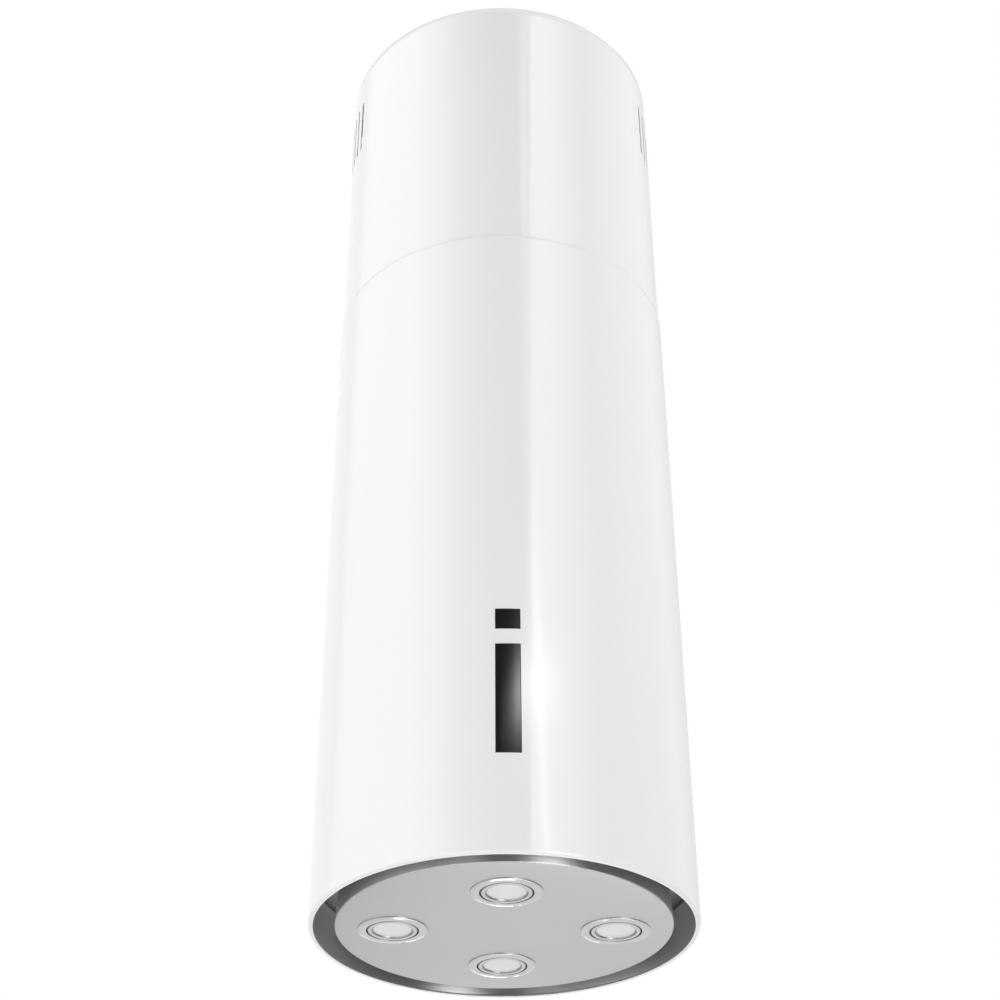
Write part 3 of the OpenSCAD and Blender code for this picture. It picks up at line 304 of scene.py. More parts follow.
@dataclass(frozen=True)
class BrushedSteel(Finish):
    """Stainless sheet with a fine brushed grain.

    Attributes:
        grain: The way the brushing runs.
        level: Brightness of the steel.
        base_rough: The least roughness.
        contrast: Depth of the light and dark of the strokes.
        spread: How much more the strokes blur what is mirrored across them than along them.
    """

    grain: Grain = Grain.ALONG_X
    level: float = 0.62
    base_rough: float = 0.30
    contrast: float = 0.05
    spread: float = 0.0

    def build(self) -> bpy.types.Material:
        """Builds the steel: long strokes that change colour, roughness and relief.

        Returns:
            The material.
        """
        s = Shader(self.name, {"Metallic": 1.0, "Anisotropic": self.spread, "Anisotropic Rotation": 0.25})
        if self.grain is Grain.ALONG_X:
            strokes = s.vector(s.x * 9.0, s.y * 900.0, s.z * 900.0)
            broad = s.vector(s.x * 2.0, s.y * 60.0, s.z * 60.0)
        else:
            turn = s.y.angle_to(s.x)
            strokes = s.vector(turn * 3.0, s.z * 1400.0, 0.0)
            broad = s.vector(turn * 1.0, s.z * 90.0, 0.0)
        fine = s.noise(strokes, 1.0, 4.0, 0.65)
        wide = s.noise(broad, 1.0, 2.0)
        shade = fine * 0.7 + wide * 0.3
        dark = [self.level - self.contrast] * 3
        light = [self.level + self.contrast, self.level + self.contrast, self.level + self.contrast * 0.9]
        s.colour(s.blend(shade, dark, light))
        s.rough(self.base_rough + shade * 0.12)
        if self.spread == 0.0:
            s.bump(fine, 0.00002, 0.35)
        return s.material


@dataclass(frozen=True)
class BlackGlass(Finish):
    """Polished glass with a black back print."""

    def build(self) -> bpy.types.Material:
        """Builds the glass: near black with a soft sheen, as the film behind it scatters light.

        Returns:
            The material.
        """
        s = Shader(self.name, {"Specular IOR Level": 1.0, "IOR": 1.62})
        s.colour(s.blend(s.noise(s.place, 30.0, 2.0), (0.006, 0.006, 0.007), (0.010, 0.010, 0.011)))
        s.rough(0.05 + s.noise(s.place, 260.0, 2.0) * 0.03)
        return s.material


@dataclass(frozen=True)
class FrostedLens(Finish):
    """The satin lens of an unlit lamp."""

    def build(self) -> bpy.types.Material:
        """Builds the lens: milky, with fine prisms that blur what lies behind.

        Returns:
            The material.
        """
        s = Shader(self.name, {"Specular IOR Level": 0.5, "Coat Weight": 0.3, "Coat Roughness": 0.2})
        s.colour(s.blend(s.noise(s.place, 130.0, 2.0), (0.74, 0.74, 0.735), (0.80, 0.80, 0.795)))
        s.rough(0.36 + s.noise(s.place, 300.0) * 0.1)
        cells = s.wire("ShaderNodeTexVoronoi", Vector=s.place, Scale=900.0)
        s.bump(cells, 0.00006, 0.4)
        return s.material


@dataclass(frozen=True)
class SatinMetal(Finish):
    """A cast or pressed part with a satin plated finish.

    Attributes:
        tone: The metal's colour.
        base_rough: The least roughness.
        metal: How metallic the surface is.
        spread: How much the roughness varies.
    """

    tone: tuple[float, float, float] = (0.66, 0.66, 0.655)
    base_rough: float = 0.24
    metal: float = 1.0
    spread: float = 0.1

    def build(self) -> bpy.types.Material:
        """Builds the metal: small clouds of colour and gloss.

        Returns:
            The material.
        """
        s = Shader(self.name, {"Metallic": self.metal})
        cloud = s.noise(s.place, 60.0, 3.0)
        s.colour(s.blend(cloud, [c * 0.95 for c in self.tone], self.tone))
        s.rough(self.base_rough + s.noise(s.place, 240.0) * self.spread)
        s.bump(s.noise(s.place, 1500.0, 2.0), 0.00001, 0.3)
        return s.material


@dataclass(frozen=True)
class ZincSheet(Finish):
    """Galvanised sheet with its spangle.

    Attributes:
        spangle: Crystals per metre.
    """

    spangle: float = 90.0

    def build(self) -> bpy.types.Material:
        """Builds the zinc: flat crystals of differing grey and gloss.

        Returns:
            The material.
        """
        s = Shader(self.name, {"Metallic": 1.0})
        crystal = s.wire("ShaderNodeTexVoronoi", output="Color", Vector=s.place, Scale=self.spangle)
        level = s.wire("ShaderNodeRGBToBW", Color=crystal)
        s.colour(s.blend(level, (0.50, 0.52, 0.54), (0.68, 0.70, 0.72)))
        s.rough(0.32 + level * 0.16)
        s.bump(s.noise(s.place, 700.0), 0.00002, 0.3)
        return s.material


@dataclass(frozen=True)
class Plastic(Finish):
    """A moulded plastic with a fine spark-eroded texture.

    Attributes:
        tone: The plastic's colour.
        base_rough: The least roughness.
        grit: Depth of the texture in metres.
    """

    tone: tuple[float, float, float] = (0.05, 0.05, 0.055)
    base_rough: float = 0.42
    grit: float = 0.00003

    def build(self) -> bpy.types.Material:
        """Builds the plastic: an even colour with a moulded grain.

        Returns:
            The material.
        """
        s = Shader(self.name, {})
        s.colour(s.blend(s.noise(s.place, 20.0), [c * 0.85 for c in self.tone], [c * 1.1 for c in self.tone]))
        s.rough(self.base_rough + s.noise(s.place, 400.0) * 0.12)
        s.bump(s.noise(s.place, 1800.0, 2.0), self.grit, 0.5)
        return s.material


@dataclass(frozen=True)
class BoardGreen(Finish):
    """A circuit board's solder mask over its copper tracks."""

    def build(self) -> bpy.types.Material:
        """Builds the board: lighter tracks in a green mask.

        Returns:
            The material.
        """
        s = Shader(self.name, {"Coat Weight": 0.4, "Coat Roughness": 0.15})
        tracks = s.wire("ShaderNodeTexBrick", output=1, Vector=s.vector(s.x, s.z, 0.0), Scale=140.0,
                        Mortar_Size=0.06)
        s.colour(s.blend(tracks, (0.012, 0.10, 0.045), (0.03, 0.20, 0.09)))
        s.rough(0.3 + tracks * 0.1)
        return s.material


@dataclass(frozen=True)
class StudioFloor(Finish):
    """The plain pale floor: it keeps the shadow, and glossy surfaces see a glow that changes round the hood.

    Attributes:
        glow: Share of the turn round the hood from its back, by its left side, and the glow there.
        near: The same for the floor near the hood.
        camera_share: How much of what the camera sees of the floor is plain white.
    """

    glow: tuple[tuple[float, float], ...] = ((0.0, 0.7),)
    near: tuple[tuple[float, float], ...] = ((0.0, 0.0),)
    camera_share: float = 0.5

    def build(self) -> bpy.types.Material:
        """Builds the floor's matte paint and the glow that stands for it in reflections.

        Returns:
            The material.
        """
        s = Shader(self.name, {"Roughness": 0.9, "Specular IOR Level": 0.1})
        s.colour(s.blend(s.noise(s.place, 0.6, 2.0), (0.90, 0.90, 0.90), (0.93, 0.93, 0.93)))
        bearing = s.x.angle_to(0.0 - s.y) * (0.5 / math.pi) + 0.5
        out = (s.x * s.x + s.y * s.y) ** 0.5
        # The ramp is 4 m long: the near glow is whole up to 1.2 m from the axis and gone at 1.8 m.
        close = s.ramp(out * 0.25, ((0.30, 1.0), (0.45, 0.0)))
        far_glow, near_glow = s.ramp(bearing, self.glow), s.ramp(bearing, self.near)
        glow = s.wire("ShaderNodeEmission", Strength=far_glow * (1.0 - close) + near_glow * close)
        s.swap(s.wire("ShaderNodeLightPath", output="Is Glossy Ray"), glow)
        seen = s.wire("ShaderNodeLightPath", output="Is Camera Ray") * self.camera_share
        s.swap(seen, s.wire("ShaderNodeEmission", Strength=1.0))
        return s.material


@dataclass(frozen=True)
class ShadeCard(Finish):
    """A card of the studio whose glow changes along X.

    Attributes:
        ends: Places along X, in metres, where its shade starts and stops.
        shade: Share of the way between them, and the glow there.
    """

    ends: tuple[float, float] = (-2.2, -0.3)
    shade: tuple[tuple[float, float], ...] = ((0.0, 1.0), (1.0, 0.05))

    def build(self) -> bpy.types.Material:
        """Builds the card's glow.

        Returns:
            The material.
        """
        s = Shader(self.name, {"Base Color": (0.0, 0.0, 0.0, 1.0), "Specular IOR Level": 0.0,
                               "Roughness": 1.0, "Emission Strength": 1.0})
        across = (s.x - self.ends[0]) / (self.ends[1] - self.ends[0])
        s.join(s.ramp(across, self.shade), s.surface, "Emission Color")
        return s.material


WHITE_PAINT = GlossPaint("white_gloss_paint", "white_paint")
PANEL_STEEL = BrushedSteel("brushed_panel_steel", "stainless", Grain.ALONG_X, 0.62, 0.34, 0.03)
BAND_STEEL = BrushedSteel("brushed_band_steel", "stainless", Grain.ROUND_Z, 0.62, 0.33, 0.06, 1.0)
LINING_STEEL = BrushedSteel("brushed_lining_steel", "stainless", Grain.ROUND_Z, 0.57, 0.34, 0.06, 1.0)
BEND_STEEL = BrushedSteel("brushed_bend_steel", "stainless", Grain.ROUND_Z, 0.60, 0.55, 0.04)
DECK_STEEL = BrushedSteel("brushed_deck_steel", "stainless", Grain.ALONG_X, 0.70, 0.34, 0.05)
GLASS = BlackGlass("black_window_glass", "black_glass")
LENS = FrostedLens("frosted_lamp_lens", "lens")
LAMP_METAL = SatinMetal("satin_lamp_metal", "lamp_metal", (0.765, 0.765, 0.76), 0.07, 1.0, 0.04)
# The lamps' rounded edges and the bead by the lens get this darker, duller metal: its darkness is painted shade
# for their dark outlines and grooves.
LAMP_EDGE_SHADE = SatinMetal("lamp_edge_metal", "lamp_metal", (0.34, 0.34, 0.335), 0.30)
SINK_METAL = SatinMetal("cast_heat_sink", "lamp_metal", (0.56, 0.56, 0.57), 0.36)
ZINC = ZincSheet("galvanised_sheet", "galvanised")
SCREW_ZINC = SatinMetal("zinc_plate", "zinc_screw", (0.70, 0.70, 0.69), 0.22)
FILTER_METAL = SatinMetal("filter_aluminium", "filter_metal", (0.74, 0.74, 0.73), 0.30)
# Near black for the top band of the lining's inner face: a painted shadow of the dark gap below the deck.
SEAM_SHADE = SatinMetal("oxide_in_the_seam", "stainless", (0.035, 0.035, 0.035), 0.60)
DARK_PLASTIC = Plastic("dark_moulding", "dark_plastic")
CASING_PLASTIC = Plastic("grey_moulding", "casing_plastic", (0.17, 0.17, 0.18), 0.46)
MOTOR_ENAMEL = SatinMetal("motor_enamel", "motor_metal", (0.05, 0.05, 0.055), 0.36, 0.0)
WHEEL_SHEET = SatinMetal("impeller_sheet", "impeller_metal", (0.62, 0.63, 0.65), 0.30)
BOX_PAINT = SatinMetal("grey_box_paint", "box_metal", (0.50, 0.51, 0.53), 0.48, 0.0)
BOARD = BoardGreen("solder_mask", "circuit_board")
FLOOR = StudioFloor("pale_floor", "floor", (
    (0.0, 0.78), (0.11, 0.52), (0.19, 0.52), (0.28, 0.90), (0.34, 0.65), (0.385, 0.68), (0.40, 2.0),
    (0.43, 2.5), (0.453, 1.6), (0.465, 0.52), (0.53, 0.50), (0.545, 0.8), (0.556, 4.2), (0.58, 6.2),
    (0.606, 5.6), (0.622, 2.6), (0.64, 0.7), (0.655, 0.28), (0.75, 0.28), (0.84, 0.55), (0.88, 0.80),
    (0.92, 0.80), (0.95, 0.74), (1.0, 0.76)), (
    (0.0, 0.75), (0.2, 0.55), (0.4, 0.7), (0.5, 0.55), (0.6, 0.55), (0.65, 0.30), (0.75, 0.30),
    (0.83, 0.55), (0.865, 3.5), (0.92, 4.0), (0.955, 1.95), (1.0, 0.75)))


# ---------------------------------------------------------------- mesh making


def finished(name: str, mesh: bpy.types.Mesh, finish: Finish, part: Part | str, replaced: Iterable[str] = (),
             sharp: float = 32.0) -> bpy.types.Object:
    """Makes a mesh a piece of the hood.

    Args:
        name: The piece's name.
        mesh: Its mesh, in the frame's place.
        finish: Its finish.
        part: The body it rides on.
        replaced: The CAD nodes that it stands for.
        sharp: Edges above this angle in degrees stay sharp.

    Returns:
        The piece.
    """
    if not mesh.materials:
        mesh.materials.append(finish.material())
    mesh.shade_smooth()
    mesh.set_sharp_from_angle(angle=math.radians(sharp))
    piece = linked(name, mesh)
    body = part.value if isinstance(part, Part) else part
    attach(piece, body)
    names = list(replaced)
    if names:
        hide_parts(*names)
    LOG.info("%s: %d faces on %s", name, len(mesh.polygons), body)
    return piece


def linked(name: str, data: bpy.types.ID) -> bpy.types.Object:
    """Makes an object of a mesh, light or camera and puts it in the scene.

    Args:
        name: Its name.
        data: The mesh, light or camera.

    Returns:
        The object.
    """
    made = bpy.data.objects.new(name, data)
    bpy.context.scene.collection.objects.link(made)
    return made


def mesh_of(name: str, bm: bmesh.types.BMesh) -> bpy.types.Mesh:
    """Turns a bmesh into a mesh and frees it.

    Args:
        name: The mesh's name.
        bm: The bmesh, which can't be used afterwards.

    Returns:
        The mesh.
    """
    mesh = bpy.data.meshes.new(name)
    bm.to_mesh(mesh)
    bm.free()
    return mesh


def ring_of(bm: bmesh.types.BMesh, radius: float, z: float, steps: int, x: float = 0.0, y: float = 0.0) -> list:
    """The points of a level circle.

    Args:
        bm: Where they go.
        radius: The circle's radius.
        z: Its height.
        steps: How many points.
        x: Its centre along X.
        y: Its centre along Y.

    Returns:
        The points, anticlockwise.
    """
    turns = (2 * math.pi * i / steps for i in range(steps))
    return [bm.verts.new((x + radius * math.cos(t), y + radius * math.sin(t), z)) for t in turns]


def bridge(bm: bmesh.types.BMesh, first: list, second: list, flipped: bool = False) -> None:
    """Joins two closed rings of as many points with faces.

    Args:
        bm: Where the faces go.
        first: The first ring's points.
        second: The second ring's points, from the same start and the same way round.
        flipped: Whether the faces look the other way.
    """
    for i in range(len(first)):
        j = (i + 1) % len(first)
        quad = (first[i], first[j], second[j], second[i])
        bm.faces.new((quad[0], quad[3], quad[2], quad[1]) if flipped else quad)


def painted(mesh: bpy.types.Mesh, finishes: Sequence[Finish],
            choose: Callable[[bpy.types.MeshPolygon], int]) -> bpy.types.Mesh:
    """Gives a mesh several finishes.

    Args:
        mesh: The mesh.
        finishes: Its finishes.
        choose: Takes a face and says which finish it has, by number.

    Returns:
        The same mesh.
    """
    for finish in finishes:
        mesh.materials.append(finish.material())
    for face in mesh.polygons:
        face.material_index = choose(face)
    return mesh


def arc(centre: tuple[float, float], radius: float, start: float, end: float, steps: int = 6) -> Profile:
    """Points on an arc.

    Args:
        centre: The arc's centre.
        radius: Its radius.
        start: Its first angle in degrees.
        end: Its last angle in degrees.
        steps: How many steps it has.

    Returns:
        The points.
    """
    turns = [math.radians(start + (end - start) * i / steps) for i in range(steps + 1)]
    return [(centre[0] + radius * math.cos(t), centre[1] + radius * math.sin(t)) for t in turns]


def lathe(name: str, profile: Profile, centre: Vector, steps: int = 96,
          nudge: Callable[[float, float, float], tuple[float, float]] | None = None) -> bpy.types.Mesh:
    """Turns a closed outline about a vertical axis.

    Args:
        name: The mesh's name.
        profile: Radius and height of each point, anticlockwise, so that the faces point outwards.
        centre: A point on the axis, from which heights are measured.
        steps: Faces round the axis.
        nudge: Moves a point of the outline at an angle: takes angle, radius and height.

    Returns:
        The mesh.
    """
    bm = bmesh.new()
    on_axis = [abs(r) < 1e-9 for r, _ in profile]
    rings = []
    for (r, z), pole in zip(profile, on_axis):
        if pole:
            rings.append([bm.verts.new(centre + Vector((0, 0, z)))] * steps)
            continue
        ring = []
        for i in range(steps):
            turn = 2 * math.pi * i / steps
            r2, z2 = nudge(turn, r, z) if nudge else (r, z)
            ring.append(bm.verts.new(centre + Vector((r2 * math.cos(turn), r2 * math.sin(turn), z2))))
        rings.append(ring)
    for k in range(len(profile)):
        low, high = rings[k], rings[(k + 1) % len(profile)]
        if on_axis[k] and on_axis[(k + 1) % len(profile)]:
            continue
        for i in range(steps):
            j = (i + 1) % steps
            corners = [low[i], low[j], high[j], high[i]]
            unique = [v for n, v in enumerate(corners) if v not in corners[:n]]
            bm.faces.new(unique)
    return mesh_of(name, bm)


@dataclass
class RolledSheet:
    """A rolled sheet of a given thickness with openings, built as a grid of columns and rows.

    Attributes:
        name: The mesh's name.
        columns: Angles of the columns, in radians.
        rows: Radius outside, radius inside, height outside and height inside of each row.
        opening: Says whether the cell above a row and after a column is open.
        shift: Moves a row's height at a column, for rounded ends.
    """

    name: str
    columns: list[float]
    rows: list[tuple[float, float, float, float]]
    opening: Callable[[int, int], bool]
    shift: Callable[[int, int], float] = lambda row, column: 0.0

    def build(self) -> bpy.types.Mesh:
        """Builds the closed sheet.

        Returns:
            Its mesh.
        """
        bm = bmesh.new()
        count = len(self.columns)
        outer, inner = [], []
        for k, (r_out, r_in, z_out, z_in) in enumerate(self.rows):
            up = [self.shift(k, j) for j in range(count)]
            outer.append([bm.verts.new((r_out * math.cos(a), r_out * math.sin(a), z_out + up[j]))
                          for j, a in enumerate(self.columns)])
            inner.append([bm.verts.new((r_in * math.cos(a), r_in * math.sin(a), z_in + up[j]))
                          for j, a in enumerate(self.columns)])
        last = len(self.rows) - 1
        for k in range(last):
            for j in range(count):
                m = (j + 1) % count
                if self.opening(k, j):
                    self._jambs(bm, outer, inner, k, j)
                    continue
                bm.faces.new((outer[k][j], outer[k][m], outer[k + 1][m], outer[k + 1][j]))
                bm.faces.new((inner[k][j], inner[k + 1][j], inner[k + 1][m], inner[k][m]))
        for j in range(count):
            m = (j + 1) % count
            bm.faces.new((inner[0][j], inner[0][m], outer[0][m], outer[0][j]))
            bm.faces.new((outer[last][j], outer[last][m], inner[last][m], inner[last][j]))
        loose = [v for v in bm.verts if not v.link_faces]
        bmesh.ops.delete(bm, geom=loose, context="VERTS")
        return mesh_of(self.name, bm)

    def _jambs(self, bm: bmesh.types.BMesh, outer: list, inner: list, k: int, j: int) -> None:
        """Closes the sheet's thickness round an open cell, where its neighbours aren't open.

        Args:
            bm: Where the faces go.
            outer: Rows of the outer face's points.
            inner: Rows of the inner face's points.
            k: The cell's row.
            j: The cell's column.
        """
        count = len(self.columns)
        m = (j + 1) % count
        if not self.opening(k, (j - 1) % count):
            bm.faces.new((outer[k][j], outer[k + 1][j], inner[k + 1][j], inner[k][j]))
        if not self.opening(k, m):
            bm.faces.new((outer[k][m], inner[k][m], inner[k + 1][m], outer[k + 1][m]))
        if not self.opening(k - 1, j):
            bm.faces.new((outer[k][j], inner[k][j], inner[k][m], outer[k][m]))
        if not self.opening(k + 1, j):
            bm.faces.new((outer[k + 1][j], outer[k + 1][m], inner[k + 1][m], inner[k + 1][j]))


def even_turns(steps: int, extra: Iterable[float] = (), clear: float = 0.004) -> list[float]:
    """Column angles: even steps, with extra ones in place of the even ones near them.

    Args:
        steps: How many even steps.
        extra: Angles that must be there, in radians.
        clear: The least angle between an even column and an extra one.

    Returns:
        The sorted angles, from 0 to one turn.
    """
    wanted = sorted(a % (2 * math.pi) for a in extra)
    even = [2 * math.pi * i / steps for i in range(steps)]
    kept = [a for a in even if all(abs(a - w) > clear for w in wanted)]
    return sorted(kept + wanted)


def block(name: str, low: Sequence[float], high: Sequence[float], bevel: float) -> bpy.types.Mesh:
    """A block with rounded edges.

    Args:
        name: The mesh's name.
        low: Its lowest corner.
        high: Its highest corner.
        bevel: Radius of its edges.

    Returns:
        The mesh.
    """
    bm = bmesh.new()
    bmesh.ops.create_cube(bm, size=1.0)
    low, high = Vector(low), Vector(high)
    size = high - low
    for v in bm.verts:
        v.co = (low + high) / 2 + Vector(v.co[i] * size[i] for i in range(3))
    bmesh.ops.bevel(bm, geom=list(bm.edges), offset=bevel, segments=3, profile=0.5, affect="EDGES")
    return mesh_of(name, bm)


def pierced_disc(bm: bmesh.types.BMesh, radius: float, z: float, holes: Sequence[tuple[float, float, float]],
                 steps: int, hole_steps: int, up: bool) -> tuple[list, list[list]]:
    """A flat disc with round holes.

    Args:
        bm: Where it goes.
        radius: Its radius.
        z: Its height.
        holes: Centre and radius of each hole.
        steps: Points round the disc.
        hole_steps: Points round each hole.
        up: Whether it faces up.

    Returns:
        The disc's outer points, and each hole's points.
    """
    def circle(x: float, y: float, r: float, count: int) -> list:
        """A closed ring of points and edges.

        Args:
            x: Its centre along X.
            y: Its centre along Y.
            r: Its radius.
            count: How many points.

        Returns:
            The points.
        """
        ring = ring_of(bm, r, z, count, x, y)
        for i in range(count):
            edges.append(bm.edges.new((ring[i], ring[(i + 1) % count])))
        return ring

    edges: list = []
    rim = circle(0.0, 0.0, radius, steps)
    inner = [circle(x, y, r, hole_steps) for x, y, r in holes]
    filled = bmesh.ops.triangle_fill(bm, edges=edges, use_beauty=True, use_dissolve=False,
                                     normal=(0, 0, 1 if up else -1))
    for face in filled["geom"]:
        if isinstance(face, bmesh.types.BMFace) and (face.normal.z > 0) != up:
            face.normal_flip()
    return rim, inner


# ---------------------------------------------------------------- patterns made by geometry nodes


# Socket types of a pattern's plain inputs; any other input is an object.
SOCKETS = {int: "NodeSocketInt", float: "NodeSocketFloat"}


class Pattern(Tree):
    """A geometry node tree with named inputs, run once and turned into a plain mesh."""

    def __init__(self, name: str, **inputs: int | float | bpy.types.Object) -> None:
        """Starts the tree.

        Args:
            name: The tree's name.
            **inputs: Value of each named input, which also sets its socket's type.
        """
        group = bpy.data.node_groups.new(name, "GeometryNodeTree")
        super().__init__(group)
        self.values = {}
        group.interface.new_socket("Geometry", in_out="OUTPUT", socket_type="NodeSocketGeometry")
        for label, value in inputs.items():
            kind = SOCKETS.get(type(value), "NodeSocketObject")
            item = group.interface.new_socket(label, in_out="INPUT", socket_type=kind)
            self.values[item.identifier] = value
        self.entry = group.nodes.new("NodeGroupInput")
        self.exit = group.nodes.new("NodeGroupOutput")

    def input(self, label: str) -> Wire:
        """The named input as a wire."""
        return Wire(self, self.entry.outputs[label])

    def finish(self, geometry: Wire, finish: Finish) -> bpy.types.Mesh:
        """Ends the tree and runs it.

        Args:
            geometry: What the tree makes.
            finish: The finish that it gets.

        Returns:
            The result as a plain mesh.
        """
        real = self.wire("GeometryNodeRealizeInstances", in0=geometry)
        dressed = self.wire("GeometryNodeSetMaterial", Geometry=real, Material=finish.material())
        self.join(dressed, self.exit, 0)
        holder = linked(self.tree.name, bpy.data.meshes.new(self.tree.name))
        modifier = holder.modifiers.new("pattern", "NODES")
        modifier.node_group = self.tree
        for identifier, value in self.values.items():
            modifier[identifier] = value
        graph = bpy.context.evaluated_depsgraph_get()
        mesh = bpy.data.meshes.new_from_object(holder.evaluated_get(graph))
        holder.modifiers.remove(modifier)
        bpy.data.objects.remove(holder)
        return mesh


def fin_mesh(count: int, inner: float, outer: float, thick: float, height: float) -> bpy.types.Mesh:
    """Radial fins round a vertical axis at the origin, made by geometry nodes.

    Args:
        count: How many fins.
        inner: Radius where they start.
        outer: Radius where they end.
        thick: Thickness of a fin.
        height: Height of a fin.

    Returns:
        Their mesh.
    """
    p = Pattern("heat_sink_fins", Count=count, Inner=inner, Outer=outer, Thickness=thick, Height=height)
    length = p.input("Outer") - p.input("Inner")
    size = p.wire("ShaderNodeCombineXYZ", X=length, Y=p.input("Thickness"), Z=p.input("Height"))
    fin = p.wire("GeometryNodeMeshCube", Size=size)
    middle = p.wire("ShaderNodeCombineXYZ", X=(p.input("Outer") + p.input("Inner")) * 0.5,
                    Z=p.input("Height") * 0.5)
    placed = p.wire("GeometryNodeTransform", Geometry=fin, Translation=middle)
    spots = p.wire("GeometryNodePoints", Count=p.input("Count"))
    step = p.wire("GeometryNodeInputIndex") * (2 * math.pi) / p.input("Count")
    spin = p.wire("ShaderNodeCombineXYZ", Z=step)
    fins = p.wire("GeometryNodeInstanceOnPoints", Points=spots, Instance=placed, Rotation=spin)
    return p.finish(fins, LAMP_METAL)


def knit_mesh(width: float, length: float, pitch: float, wire: float) -> bpy.types.Mesh:
    """A pad of interlocked wire loops in the XY plane, made by geometry nodes.

    Args:
        width: Size along X.
        length: Size along Y.
        pitch: Distance from loop to loop.
        wire: Radius of the wire.

    Returns:
        Its mesh.
    """
    p = Pattern("knitted_pad", Width=width, Length=length, Pitch=pitch, Wire=wire, Seed=7)
    loop = p.wire("GeometryNodeCurvePrimitiveCircle", Resolution=10, Radius=p.input("Pitch") * 0.62)
    ring = p.wire("GeometryNodeCurvePrimitiveCircle", Resolution=4, Radius=p.input("Wire"))
    coil = p.wire("GeometryNodeCurveToMesh", Curve=loop, Profile_Curve=ring)
    whole = {"operation": "FLOOR"}
    across, down = (p.wire("ShaderNodeMath", settings=whole, in0=p.input(side) / p.input("Pitch"))
                    for side in ("Width", "Length"))
    grid = p.wire("GeometryNodeMeshGrid", Size_X=p.input("Width") - p.input("Pitch") * 1.6,
                  Size_Y=p.input("Length") - p.input("Pitch") * 1.6, Vertices_X=across, Vertices_Y=down)
    lean = p.wire("FunctionNodeRandomValue", settings={"data_type": "FLOAT_VECTOR"}, in0=(0.15, -0.35, 0.0),
                  in1=(0.45, 0.35, 6.28), Seed=p.input("Seed"))
    loops = p.wire("GeometryNodeInstanceOnPoints", Points=grid, Instance=coil, Rotation=lean)
    return p.finish(loops, FILTER_METAL)


def screw_mesh(spots: Sequence[Vector], axis: Vector, radius: float, height: float) -> bpy.types.Mesh:
    """Domed screw heads with a round driver recess, one at each spot, made by geometry nodes.

    Args:
        spots: The centres of the heads' undersides.
        axis: The way the heads point.
        radius: Radius of a head.
        height: Height of a head.

    Returns:
        Their mesh.
    """
    outline = [(0.0, 0.0), (radius, 0.0), *arc((radius * 0.45, height * 0.35), radius * 0.55, 0, 60, 3),
               (radius * 0.45, height), (radius * 0.42, height * 0.45), (0.0, height * 0.4)]
    head = lathe("screw_head", outline, Vector((0, 0, 0)), 18)
    model = linked("screw_head", head)
    p = Pattern("screw_heads", Head=model, Count=len(spots))
    shape = p.wire("GeometryNodeObjectInfo", output="Geometry", in0=p.input("Head"))
    turn = axis.to_track_quat("Z", "Y").to_euler()
    # The points start at the origin. An offset moves them, since an unlinked position isn't read.
    points = p.wire("GeometryNodePoints", Count=p.input("Count"))
    index = p.wire("GeometryNodeInputIndex")
    for i, spot in enumerate(spots):
        here = p.wire("FunctionNodeCompare", settings={"data_type": "INT", "operation": "EQUAL"},
                      in2=index, in3=i)
        points = p.wire("GeometryNodeSetPosition", Geometry=points, Selection=here, Offset=tuple(spot))
    heads = p.wire("GeometryNodeInstanceOnPoints", Points=points, Instance=shape, Rotation=tuple(turn))
    mesh = p.finish(heads, SCREW_ZINC)
    bpy.data.objects.remove(model)
    return mesh


# ---------------------------------------------------------------- the shell and the tube


@dataclass
class Shell:
    """The white lower shell: a rolled sheet with a lip below and two window openings.

    Attributes:
        sheet: Thickness of the sheet.
        lip: Width of the lip.
        bend: Outer radius of the bend into the lip.
        gap: Gap round a window.
        steps: Even columns.
    """

    sheet: float = 1.0 * MM
    lip: float = 5.3 * MM
    bend: float = 3.0 * MM
    gap: float = 0.25 * MM
    steps: int = 288

    def _window_spans(self) -> tuple[list[float], list[tuple[float, float]]]:
        """The side angles of the windows, and each one's lowest and highest edge.

        Returns:
            The left and the right angle in radians, and each window's lowest and highest edge.
        """
        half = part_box("touch_window")[1].x + self.gap
        turn = math.asin(half / SHELL_R)
        front = 1.5 * math.pi
        spans = []
        for node in ("touch_window", "display_window"):
            low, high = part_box(node)
            spans.append((low.z - self.gap, high.z + self.gap))
        return [front - turn, front + turn], spans

    def build(self) -> None:
        """Builds the shell's sheet."""
        sides, spans = self._window_spans()
        columns = even_turns(self.steps, sides)
        r, t = SHELL_R, self.sheet
        out = arc((r - self.bend, RIM_Z + self.bend), self.bend, -90, 0, 8)
        back = arc((r - self.bend, RIM_Z + self.bend), self.bend - t, -90, 0, 8)
        tip = 0.25 * t
        lip_r = r - self.lip
        rows = [(lip_r, lip_r, RIM_Z + tip, RIM_Z + t - tip), (lip_r + tip, lip_r + tip, RIM_Z, RIM_Z + t)]
        rows += [(o[0], i[0], o[1], i[1]) for o, i in zip(out, back)]
        edges = [edge for span in spans for edge in span]
        heights = [RIM_Z + 20 * MM, *edges, RIM_Z + 400 * MM, SHELL_TOP_Z - 4 * MM, SHELL_TOP_Z - tip]
        first = len(rows)
        rows += [(r, r - t, z, z) for z in heights]
        rows.append((r - tip, r - t + tip, SHELL_TOP_Z, SHELL_TOP_Z))
        # A window fills the row above its lower edge: the touch window's first, then the display's.
        open_rows = {first + 1, first + 3}
        left, right = columns.index(sides[0]), columns.index(sides[1])
        sheet = RolledSheet("shell_skin", columns, rows, lambda k, j: k in open_rows and left <= j < right)
        finished("shell_skin", sheet.build(), WHITE_PAINT, Part.HOOD, ["lower_shell"], 50.0)


